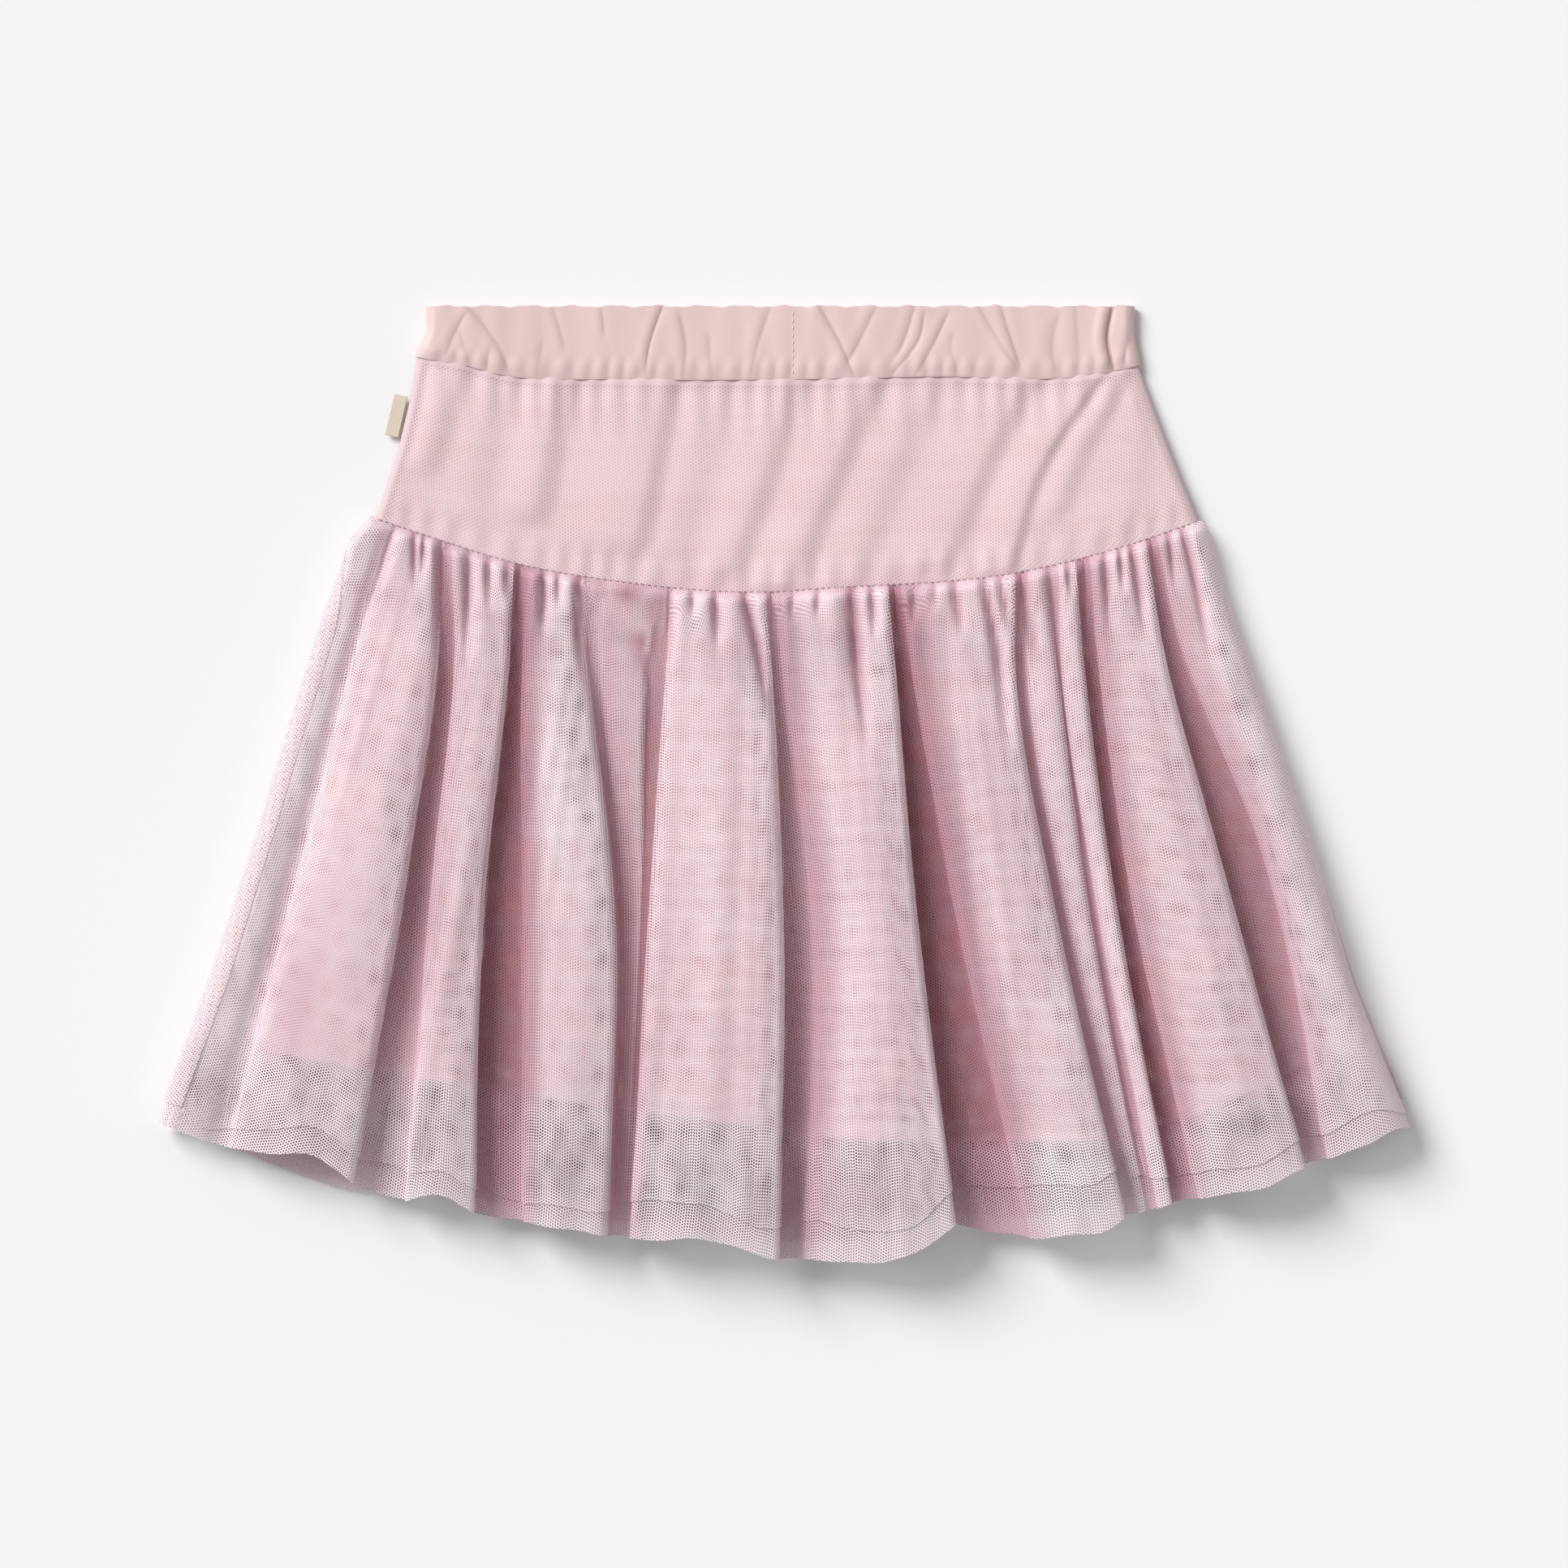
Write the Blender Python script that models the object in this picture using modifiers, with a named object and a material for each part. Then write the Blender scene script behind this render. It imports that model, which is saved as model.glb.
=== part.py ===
"""Tulle skirt laid flat, its back up: a gathered waistband, a net yoke, a lining, and two gathered net tiers.

The frame: +X runs across the skirt, +Y towards the waist and +Z up. The floor is z = 0.
Lengths in the tables are millimetres. `down` runs from 0 at the yoke seam to 1 at the hem.
"""

from collections import namedtuple

import bmesh
import bpy
import numpy as np

MM = 0.001

# Walls, and the space left between two pieces of cloth.
NET_WALL = 1.0
LINING_WALL = 1.0
BAND_WALL = 2.4
GAP = 0.36
STEP = NET_WALL + GAP

# Height of the middle of each layer where the layers lie closest.
FRONT_OUTER = NET_WALL / 2
FRONT_UNDER = FRONT_OUTER + STEP
FRONT_LINING = FRONT_UNDER + STEP
BACK_LINING = FRONT_LINING + STEP
BACK_UNDER = BACK_LINING + STEP
PUFF = 3.2

WAIST_TOP = 169.9
CENTRE_Y = -0.6
DOWN_ROWS = (0.0, 0.05, 0.12, 0.25, 0.47, 0.73, 1.0)
LEVELS = (0.0, 0.15, 0.5, 1.0)
GATHER_FADE = 0.17
GATHER_HEIGHT = 1.25
SEAM_PUFF = 0.8
COVER = 1.0
UNDERSIDE_FOLDS = 12
LABEL_SIZE = (4.4, 15.0, 1.0)

# The folds wide enough for the lining to rise into, and how far it stays from their sides and tops.
LINED_FOLDS = (1, 2, 3, 5, 6, 7, 10)
LINING_ASIDE = 2.4
LINING_BELOW = 1.0
LINING_PLACES = (0.0, 0.14, 0.32, 0.5, 0.68, 0.86, 1.0)

# A fold of the tier's visible side: its left and right edge at each level, its height at the last three,
# where its crest is from left (0) to right (1), how full it is at each edge, how far each flank is tucked
# under it, how many seam gathers run into it, its hem line at the left edge, crest and right edge, and how
# much shorter the outer net is.
Fold = namedtuple("Fold", "seam high middle hem heights crest full tucks gathers hem_line short")
FOLDS = (
    Fold(
        (-146.0, -138.8), (-160.8, -153.0), (-183.0, -174.5), (-218.9, -206.0),
        (1.5, 2.5, 3.0), 0.4, (0.9, 0.7), (0.0, 0.0), 1, (-124.0, -126.5, -129.3), 7.0,
    ),
    Fold(
        (-138.8, -120.4), (-148.6, -123.1), (-168.3, -135.6), (-198.0, -150.1),
        (5.5, 9.5, 12.5), 0.8, (0.45, 0.88), (-1.2, 3.6), 2, (-130.8, -134.5, -143.0), 8.0,
    ),
    Fold(
        (-120.4, -93.8), (-117.0, -96.4), (-124.8, -106.0), (-135.9, -108.3),
        (6.0, 10.0, 12.5), 0.5, (0.8, 0.8), (1.4, 3.2), 3, (-149.6, -146.4, -154.9), 10.0,
    ),
    Fold(
        (-93.8, -70.0), (-92.9, -71.2), (-92.9, -61.8), (-93.8, -61.4),
        (6.0, 9.5, 12.5), 0.3, (0.85, 0.5), (2.0, -1.2), 2, (-158.0, -159.5, -161.5), 10.0,
    ),
    Fold(
        (-70.0, -41.4), (-64.4, -49.0), (-56.8, -51.2), (-57.8, -57.1),
        (3.2, 0.0, 0.0), 0.5, (0.4, 0.4), (-1.4, -1.4), 2, (-161.8, -162.0, -162.2), 11.0,
    ),
    Fold(
        (-41.4, -4.0), (-42.2, -2.2), (-48.0, -0.1), (-56.1, 0.1),
        (6.5, 11.0, 15.0), 0.6, (0.85, 0.92), (3.0, 4.0), 4, (-162.4, -163.9, -170.0), 12.0,
    ),
    Fold(
        (-4.0, 39.4), (0.7, 40.2), (10.6, 49.2), (6.0, 62.2),
        (6.0, 10.5, 14.0), 0.7, (0.35, 0.86), (-1.0, 3.8), 5, (-171.4, -170.4, -158.8), 12.0,
    ),
    Fold(
        (39.4, 84.8), (46.5, 82.5), (61.0, 96.4), (86.0, 123.1),
        (6.0, 10.5, 14.0), 0.82, (0.65, 0.92), (1.4, 1.8), 5, (-162.4, -159.8, -155.4), 16.0,
    ),
    Fold(
        (84.8, 94.6), (87.0, 96.9), (99.2, 107.4), (126.8, 129.2),
        (4.5, 5.0, 1.0), 0.6, (0.6, 0.75), (-3.0, -2.0), 1, (-154.4, -154.0, -153.4), 12.0,
    ),
    Fold(
        (94.6, 107.2), (100.0, 109.4), (111.4, 119.2), (133.2, 139.2),
        (5.0, 7.0, 8.0), 0.65, (0.7, 0.85), (-1.5, 0.0), 1, (-152.5, -152.0, -151.4), 11.0,
    ),
    Fold(
        (107.2, 131.0), (111.8, 135.6), (122.5, 157.3), (146.3, 185.5),
        (6.0, 10.0, 13.0), 0.7, (0.7, 0.88), (1.2, 3.8), 3, (-149.4, -143.3, -138.3), 10.5,
    ),
    Fold(
        (131.0, 148.6), (139.9, 157.5), (170.1, 182.5), (192.7, 219.0),
        (4.0, 7.0, 9.0), 0.5, (0.55, 0.8), (-1.0, 0.0), 2, (-135.1, -129.3, -124.6), 8.0,
    ),
)

# The tier's outline on both sides, down from the seam.
SIDE_DOWN = (0.0, 0.04, 0.15, 0.3, 0.5, 0.75, 1.0)
SIDE_LEFT = (-146.0, -154.7, -164.6, -175.0, -188.0, -205.8, -226.2)
SIDE_RIGHT = (148.6, 152.8, 160.8, 172.4, 187.2, 203.9, 226.0)

# Lines across the skirt: the places along X, and the Y of the line at each.
SEAM_LINE = (
    (-146.0, -125.1, -94.7, -56.4, -12.3, 20.4, 81.6, 117.0, 148.6),
    (94.3, 87.3, 78.0, 71.4, 67.9, 69.6, 74.6, 82.9, 93.4),
)
BAND_LINE = (
    (-131.5, -114.1, -100.2, -59.6, 4.2, 50.6, 115.9, 127.2),
    (151.7, 148.8, 145.3, 143.8, 143.8, 144.7, 146.2, 148.8),
)
FRONT_HEM = (
    (-226.2, -196.0, -170.0, -143.7, -123.0, -94.0, -50.0, 0.0, 25.0, 47.7, 80.0, 120.0, 146.0, 200.0, 226.0),
    (
        -124.0, -133.5, -144.5, -149.0, -147.5, -156.0, -160.0, -166.5,
        -166.0, -156.5, -158.0, -151.5, -146.5, -131.0, -124.0,
    ),
)
LINING_HEM = (
    (-205.0, -158.0, -114.0, -74.0, -29.0, 16.0, 77.0, 137.0, 161.0, 205.0),
    (-93.0, -101.8, -108.2, -114.6, -120.0, -126.4, -128.0, -124.0, -115.7, -97.0),
)

# A drag fold of the yoke: where its crest leaves the waistband and meets the seam, its half width and height.
DragFold = namedtuple("DragFold", "top bottom width height")
DRAG_FOLDS = (
    DragFold(-112.0, -132.0, 9.0, 1.3),
    DragFold(-92.0, -110.0, 10.0, 1.0),
    DragFold(-66.0, -88.0, 8.0, 1.1),
    DragFold(-34.0, -62.0, 8.0, 1.0),
    DragFold(2.0, -24.0, 11.0, 1.2),
    DragFold(40.0, 6.0, 9.0, 1.1),
    DragFold(66.0, 32.0, 10.0, 1.2),
    DragFold(104.0, 66.0, 9.0, 1.4),
    DragFold(120.0, 104.0, 7.0, 1.6),
)

# A crease of the waistband: where it crosses the lower and top edge, its half width and depth.
BandCrease = namedtuple("BandCrease", "low top width depth")
BAND_CREASES = (
    BandCrease(-96.0, -105.0, 3.0, 0.9),
    BandCrease(-72.0, -80.0, 2.5, 0.9),
    BandCrease(-47.0, -42.0, 2.5, 1.1),
    BandCrease(-30.0, -37.0, 2.5, 0.9),
    BandCrease(28.0, 15.0, 2.6, 1.1),
    BandCrease(50.0, 62.0, 2.6, 1.0),
    BandCrease(88.0, 98.0, 2.6, 0.9),
    BandCrease(115.5, 116.5, 2.2, 1.4),
)


def smooth(amount):
    """Ease from 0 to 1."""
    amount = float(np.clip(amount, 0.0, 1.0))
    return amount * amount * (3.0 - 2.0 * amount)


def through(places, values, at):
    """A smooth curve through values at rising places."""
    slopes = np.gradient(np.array(values, float), places)
    at = min(max(at, places[0]), places[-1])
    i = min(int(np.searchsorted(places, at, side="right")) - 1, len(places) - 2)
    length = places[i + 1] - places[i]
    t = (at - places[i]) / length
    start = values[i] * (1 + 2 * t) * (1 - t) ** 2 + slopes[i] * length * t * (1 - t) ** 2
    end = values[i + 1] * t * t * (3 - 2 * t) + slopes[i + 1] * length * t * t * (t - 1)
    return start + end


def puff(down):
    """How far the upper layers have risen off the floor."""
    return SEAM_PUFF + PUFF * float(np.interp(down, DOWN_ROWS, [smooth(row / 0.8) for row in DOWN_ROWS]))


def fold_height(fold, down):
    return max(0.0, through(LEVELS, (0.0,) + fold.heights, down))


def fold_top(fold):
    """The columns over the top of a fold: place across it, share of its height and gather wave."""
    count = max(2 * fold.gathers - 1, 5 if fold.hem[1] - fold.hem[0] > 12.0 else 3)
    columns = []
    for t in np.linspace(0.0, 1.0, count):
        if t < fold.crest:
            share = 1.0 - (1.0 - fold.full[0]) * (1.0 - t / fold.crest) ** 2
        else:
            share = 1.0 - (1.0 - fold.full[1]) * ((t - fold.crest) / (1.0 - fold.crest)) ** 2
        wave = np.cos(2 * np.pi * (fold.gathers - 1) * t) if fold.gathers > 1 else 1.0
        columns.append((t, share, wave))
    return columns


def fold_section(fold, down):
    """One fold at one level, left flank to right: rows of x, height above the valley floor, hem y, short."""
    pitch = (fold.seam[1] - fold.seam[0]) / fold.gathers
    gather = min(GATHER_HEIGHT, (pitch / 7.6) ** 2) * max(0.0, 1.0 - down / GATHER_FADE)
    top = fold_top(fold)
    half = 0.5 * pitch if fold.gathers > 1 else 0.44 * pitch
    first = fold.seam[0] + half
    last = fold.seam[1] - half
    flank = (0.12 * pitch, 0.24 * pitch, 0.37 * pitch)
    across = [[fold.seam[0] + step for step in flank]]
    across[0] += [first + (last - first) * t for t, _, _ in top]
    across[0] += [fold.seam[1] - step for step in reversed(flank)]
    for height, (left, right) in zip(fold.heights, (fold.high, fold.middle, fold.hem)):
        ease = smooth(height / 5.0)
        first = left + COVER * ease
        last = right - COVER * ease
        under_left = fold.tucks[0] * min(1.0, height / 12.0) - 1.2 * (1.0 - ease)
        under_right = fold.tucks[1] * min(1.0, height / 12.0) - 1.2 * (1.0 - ease)
        row = [first + under_left, first + 0.42 * under_left, first]
        inset = min(2.2, 0.12 * (last - first))
        row += [first + inset + (last - first - 2 * inset) * t for t, _, _ in top]
        row += [last, last - 0.42 * under_right, last - under_right]
        across.append(row)
    left, right = fold.full
    shares = [0.02, 0.54 * left, 0.84 * left]
    shares += [share for _, share, _ in top]
    shares += [0.95 * right, 0.6 * right, 0.02]
    waves = [-0.8, -0.2, 0.5] + [wave for _, _, wave in top] + [0.5, -0.2, -0.8]
    hems = [0.0, 0.0, 0.0] + [t for t, _, _ in top] + [1.0, 1.0, 1.0]
    height = fold_height(fold, down)
    section = []
    for places, share, wave, t in zip(zip(*across), shares, waves, hems):
        hem = float(np.interp(t, (0.0, fold.crest, 1.0), fold.hem_line))
        rise = height * share + gather * (wave + 1.0)
        section.append((through(LEVELS, places, down), rise, hem, fold.short))
    return section


def side_edges(down):
    """The under net's outline on both sides. The outer net is wrapped round it."""
    wrap = (STEP + NET_WALL / 2) * smooth(down / 0.12)
    left = float(np.interp(down, SIDE_DOWN, SIDE_LEFT))
    right = float(np.interp(down, SIDE_DOWN, SIDE_RIGHT))
    return left + wrap, right - wrap


def left_roll(down, count):
    """The rolled left side from the side seam round to the floor: points, and the way that the seam faces."""
    left, _ = side_edges(down)
    top = BACK_UNDER + puff(down) + fold_height(FOLDS[0], down)
    middle = (top + FRONT_UNDER) / 2
    radius = (top - FRONT_UNDER) / 2
    turn = smooth(down / 0.2)
    start = np.pi * (1.0 - turn / 2)
    points = []
    for angle in np.linspace(start, 1.5 * np.pi, count):
        points.append((left + radius + radius * np.cos(angle), middle + radius * np.sin(angle)))
    along = (np.sin(start), -np.cos(start))
    reach = 0.6 + turn * max(0.0, 4.8 - radius)
    points.insert(0, (points[0][0] + reach * along[0], points[0][1] + reach * along[1]))
    return points, along


def back_section(down):
    """The visible side of the under net at one level, from the left side seam to the right."""
    floor = BACK_UNDER + puff(down)
    points, along = left_roll(down, 2)
    start = (points[0][0] + GAP * along[0], points[0][1] + GAP * along[1])
    sections = [fold_section(fold, down) for fold in FOLDS]
    first = sections[0][3:-3]
    old = first[0][0]
    last = first[-1][0]
    scale = (last - start[0] - 1.2) / (last - old)
    sections[0] = [(last - (last - x) * scale, z, hem, short) for x, z, hem, short in first]
    sections[-1] = sections[-1][:-3]
    knots = [(start[0], start[1] - floor, through(*FRONT_HEM, start[0]), FOLDS[0].short)]
    for section, follows in zip(sections, sections[1:] + [None]):
        knots += section
        if follows:
            pair = (section[-1], follows[0])
            middle = [(a + b) / 2 for a, b in zip(*pair)]
            knots.append((middle[0], 0.0, middle[2], middle[3]))
    _, edge = side_edges(down)
    middle = (FRONT_UNDER - floor) / 2
    rise = knots[-1][1]
    hem = FOLDS[-1].hem_line[2]
    ends = ((1.3, 0.5 * rise), (0.1, 0.4 * middle), (0.0, middle + GAP / 2))
    knots += [(edge - inset, z, hem, FOLDS[-1].short) for inset, z in ends]
    rows = np.array(knots)
    rows[1:-1, :2] = (rows[:-2, :2] + 4 * rows[1:-1, :2] + rows[2:, :2]) / 6
    rows[:, 1] += floor
    return rows


def front_section(down):
    """The underside of the under net at one level, from the left side seam round the floor to the right."""
    points, _ = left_roll(down, 7)
    floor = BACK_UNDER + puff(down)
    _, edge = side_edges(down)
    first = points[-1][0] + 1.5
    last = edge - 4.0
    pitch = (last - first) / UNDERSIDE_FOLDS
    for i in range(UNDERSIDE_FOLDS):
        lean = 0.07 * np.sin(2.4 * i + 1.0)
        height = (0.72 + 0.2 * np.sin(1.7 * i)) * puff(down)
        for place, share in ((0.1, 0.0), (0.5, 0.0), (0.72 + lean, 1.0)):
            points.append((first + (i + place) * pitch, FRONT_UNDER + height * share))
    middle = (floor + FRONT_UNDER) / 2
    points += [(last, FRONT_UNDER), (edge - 1.6, FRONT_UNDER + 0.25)]
    points += [(edge - 0.1, (FRONT_UNDER + middle) / 2), (edge, middle - GAP / 2)]
    return np.array([(x, z, through(*FRONT_HEM, x), 9.0) for x, z in points])


def tier_grid(section_at, shorter):
    """The middle of a net layer as rows of points. `shorter` cuts its last row back to the outer net."""
    sections = [section_at(down) for down in DOWN_ROWS]
    tops = [through(*SEAM_LINE, x) - GAP / 2 for x in sections[0][:, 0]]
    grid = []
    for down, section in zip(DOWN_ROWS, sections):
        ends = zip(section, tops, sections[-1][:, 2])
        grid.append([(x, top + (hem - top) * down, z) for (x, z, _, _), top, hem in ends])
    grid = np.array(grid)
    if shorter:
        span = grid[-1] - grid[-2]
        keep = 1.0 - sections[-1][:, 3] / np.linalg.norm(span, axis=1)
        grid[-1] = grid[-2] + span * keep[:, None]
    return grid


def moved_out(grid, distance):
    """The grid moved along its normals, further where it bends, so that the layers stay evenly apart."""
    across = np.diff(grid, axis=1)
    across /= np.linalg.norm(across, axis=2, keepdims=True)
    before = np.concatenate([across[:, :1], across], axis=1)
    after = np.concatenate([across, across[:, -1:]], axis=1)
    down = np.gradient(grid, axis=0)
    normal = np.cross(down, before + after)
    normal /= np.linalg.norm(normal, axis=2, keepdims=True)
    bend = np.sqrt((1.0 + np.clip(np.sum(before * after, axis=2), 0.0, 1.0)) / 2.0)
    return grid + normal * (distance / bend)[..., None]


def material(name, colour, roughness):
    made = bpy.data.materials.new(name)
    made.use_nodes = True
    shader = made.node_tree.nodes["Principled BSDF"]
    shader.inputs["Base Color"].default_value = (*colour, 1.0)
    shader.inputs["Roughness"].default_value = roughness
    made.diffuse_color = (*colour, 1.0)
    return made


def object_from(name, mesh_data, wall, made):
    """A named object in the skirt's collection, its sheet given a wall."""
    mesh = bpy.data.meshes.new(name)
    mesh_data.to_mesh(mesh)
    mesh_data.free()
    mesh.materials.append(made)
    mesh.shade_smooth()
    thing = bpy.data.objects.new(name, mesh)
    bpy.data.collections["tulle_skirt"].objects.link(thing)
    if wall:
        solid = thing.modifiers.new("Wall", "SOLIDIFY")
        solid.thickness = wall * MM
        solid.offset = 0.0
        solid.use_even_offset = True
        solid.use_quality_normals = True
    return thing


def sheet(name, grid, wall, made, closed=False):
    """A sheet of cloth from rows of points. A closed sheet joins its last column to its first."""
    if closed:
        grid = np.concatenate([grid, grid[:, :1]], axis=1)
    rows, columns = grid.shape[:2]
    work = bmesh.new()
    bmesh.ops.create_grid(work, x_segments=columns - 1, y_segments=rows - 1, size=1.0)
    order = sorted(work.verts, key=lambda vertex: (-round(vertex.co.y, 5), round(vertex.co.x, 5)))
    for vertex, place in zip(order, grid.reshape(-1, 3)):
        vertex.co = (place[0] * MM, (place[1] - CENTRE_Y) * MM, place[2] * MM)
    if closed:
        bmesh.ops.remove_doubles(work, verts=work.verts, dist=0.00001)
    return object_from(name, work, wall, made)


def yoke_edges(t):
    """Left and right outline of the yoke, t from 0 at the waistband to 1 at the seam."""
    left = np.interp(t, (0.0, 0.3, 0.55, 1.0), (-131.2, -134.2, -137.6, -146.0))
    right = np.interp(t, (0.0, 0.35, 0.7, 1.0), (126.8, 134.0, 141.6, 148.6))
    return left, right


def yoke_lift(t):
    """How far the layers above the yoke's front have risen, t from 0 at the waistband to 1 at the seam."""
    return (STEP + SEAM_PUFF) * min(1.0, t / 0.9)


def yoke_y(t, x_top, x_bottom):
    top = through(*BAND_LINE, x_top) - GAP / 2
    bottom = through(*SEAM_LINE, x_bottom) + GAP / 2
    return top + (bottom - top) * t


def drag_relief(t, x):
    """Height of the yoke's drag folds, faded out at its edges."""
    height = 0.0
    for fold in DRAG_FOLDS:
        centre = fold.top + (fold.bottom - fold.top) * t
        height += fold.height * np.exp(-(((x - centre) / fold.width) ** 2))
    return height * float(np.sin(np.pi * np.clip(0.12 + 0.76 * t, 0, 1))) * 0.9


def yoke_grid(rows, columns, back):
    """The middle of a yoke panel. Its side edges turn towards the other panel's."""
    grid = []
    for t in rows:
        left, right = yoke_edges(t)
        top = BACK_LINING + yoke_lift(t)
        middle = (top + FRONT_OUTER) / 2
        seat = top if back else FRONT_OUTER
        end = middle + GAP / 2 if back else middle - GAP / 2
        toward = np.sign(end - seat)
        inner = np.linspace(left + 3.2, right - 3.2, columns)
        row = [(left + 0.5, end), (left + 0.75, (end + seat) / 2), (left + 1.7, seat + 0.3 * toward)]
        row += [(x, seat + (drag_relief(t, x) if back else 0.0)) for x in inner]
        row += [(right - 1.7, seat + 0.3 * toward), (right - 0.75, (end + seat) / 2), (right - 0.5, end)]
        first_left, first_right = yoke_edges(0.0)
        last_left, last_right = yoke_edges(1.0)
        points = []
        for x, z in row:
            share = (x - left) / (right - left)
            x_top = first_left + share * (first_right - first_left)
            x_bottom = last_left + share * (last_right - last_left)
            points.append((x, yoke_y(t, x_top, x_bottom), z))
        grid.append(points)
    return np.array(grid)


def lining_yoke(shares, seat):
    """The rows of a lining panel under the yoke."""
    rows = []
    for t in (0.0, 0.3, 0.6, 0.92, 1.0):
        left, right = yoke_edges(t)
        row = []
        for share in shares:
            x = left + 2.2 + share * (right - left - 4.4)
            x_top = -129.0 + share * 253.6
            x_bottom = -143.8 + share * 290.2
            y = min(yoke_y(t, x_top, x_bottom), through(*BAND_LINE, x_top) - 0.8)
            row.append((x, y, seat + yoke_lift(t)))
        rows.append(row)
    return rows


def fold_columns():
    """The net's columns that each fold takes up, the first and one past the last."""
    spans = []
    start = 1
    for i, fold in enumerate(FOLDS):
        cut = {0: 6, len(FOLDS) - 1: 3}.get(i, 0)
        end = start + len(fold_top(fold)) + 6 - cut
        spans.append((start, end))
        start = end + 1
    return spans


def lining_edge(depth, side):
    """A point of the lining's side edge in the tier, side 0 on the left and 1 on the right."""
    x_top = (-143.8, 146.4)[side]
    if depth == 0.0:
        return x_top, through(*SEAM_LINE, x_top), BACK_UNDER + SEAM_PUFF - STEP
    inset = 3.5 + 12.0 * depth
    x = side_edges(0.8 * depth)[side] + (inset, -inset)[side]
    top = through(*SEAM_LINE, x_top)
    y = top + (through(*LINING_HEM, (-200.0, 200.0)[side]) - top) * depth
    return x, y, BACK_UNDER + puff(0.8 * depth) - STEP


def lining_row(net, depth):
    """One row of the back lining inside the net's folds, depth from 0 at the seam to 1 at its own hem."""
    row = [lining_edge(depth, 0)]
    for i, (start, end) in enumerate(fold_columns()):
        if i in (0, len(FOLDS) - 1):
            continue
        crest = (start + end) // 2
        hem = through(*LINING_HEM, float(np.interp(0.8, DOWN_ROWS, net[:, crest, 0])))
        down = depth * (hem - net[0, crest, 1]) / (net[-1, crest, 1] - net[0, crest, 1])
        across, along, heights = [
            np.array([np.interp(down, DOWN_ROWS, net[:, column, axis]) for column in range(start, end)])
            for axis in range(3)
        ]
        floor = BACK_UNDER + puff(down)
        if i not in LINED_FOLDS:
            row.append(((across[0] + across[-1]) / 2, (along[0] + along[-1]) / 2, floor - STEP))
            continue
        left = max(across[0], across[2]) + LINING_ASIDE
        right = min(across[-1], across[-3]) - LINING_ASIDE
        shown = smooth((heights.max() - floor - 2.5) / 3.0)
        for place in LINING_PLACES:
            x = left + (right - left) * place
            top = np.interp(x, across[2:-2], heights[2:-2]) - floor - LINING_BELOW
            rise = shown * max(0.0, top) if 0.0 < place < 1.0 else 0.0
            row.append((x, np.interp(x, across[2:-2], along[2:-2]), floor - STEP + rise))
    row.append(lining_edge(depth, 1))
    return row


def lining_back_grid(net):
    """The back lining, from the waistband under the yoke to its hem, rising into the net's folds."""
    seam = lining_row(net, 0.0)
    shares = [(x + 143.8) / 290.2 for x, _, _ in seam]
    depths = (0.0625, 0.15, 0.3125, 0.5875, 0.9125, 1.0)
    return np.array(lining_yoke(shares, BACK_LINING - STEP) + [lining_row(net, depth) for depth in depths])


def lining_front_grid(columns):
    """The front lining, flat from the waistband to its hem."""
    shares = np.linspace(0.0, 1.0, columns)
    grid = lining_yoke(shares, FRONT_LINING - STEP)
    for down in (0.05, 0.12, 0.25, 0.47, 0.73, 0.8):
        left, right = side_edges(down)
        inset = 3.5 + 15.0 * down
        row = []
        for share in shares:
            x = left + inset + share * (right - left - 2 * inset)
            x_top = -143.8 + share * 290.2
            top = through(*SEAM_LINE, x_top)
            hem = through(*LINING_HEM, -200.0 + share * 400.0)
            row.append((x, top + (hem - top) * down / 0.8, FRONT_LINING + puff(down)))
        grid.append(row)
    return np.array(grid)


def band_relief(x, t):
    """How far the gathered casing stands up, t from 0 at its lower edge to 1 at its fold."""
    height = 0.85 + 0.32 * np.cos(2 * np.pi * (x + 3.0 * np.sin(x / 17.0) + 4.0 * t) / 10.6)
    for crease in BAND_CREASES:
        centre = crease.low + (crease.top - crease.low) * t
        height -= crease.depth * np.exp(-(((x - centre) / crease.width) ** 2))
    return max(0.0, height)


def band_grid():
    """The waistband's ring lying flat: over the back, round the right end, along the floor and round."""
    grid = []
    floor = BAND_WALL / 2
    top = floor + BAND_WALL + GAP
    radius = (top - floor) / 2
    for t in (1.0, 0.85, 0.45, 0.0):
        left = -131.5 + 3.8 * smooth(t / 0.6) + 1.2
        right = 127.2 - 1.8 * smooth(t / 0.6) - 1.2
        row = []
        for x in np.linspace(left + 2.0, right - 2.0, 76):
            row.append((x, top + band_relief(x, t)))
        for angle in (60, 20, -20, -60):
            turn = np.radians(angle)
            row.append((right - radius + radius * np.cos(turn), floor + radius + radius * np.sin(turn)))
        for x in np.linspace(right - 2.0, left + 2.0, 14):
            row.append((x, floor))
        for angle in (240, 200, 160, 120):
            turn = np.radians(angle)
            row.append((left + radius + radius * np.cos(turn), floor + radius + radius * np.sin(turn)))
        points = []
        for x, z in row:
            low = through(*BAND_LINE, x) + GAP / 2
            high = WAIST_TOP + 0.5 * np.cos(2 * np.pi * x / 15.1)
            points.append((x, low + (high - low) * t, z))
        grid.append(points)
    return np.array(grid)


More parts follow.
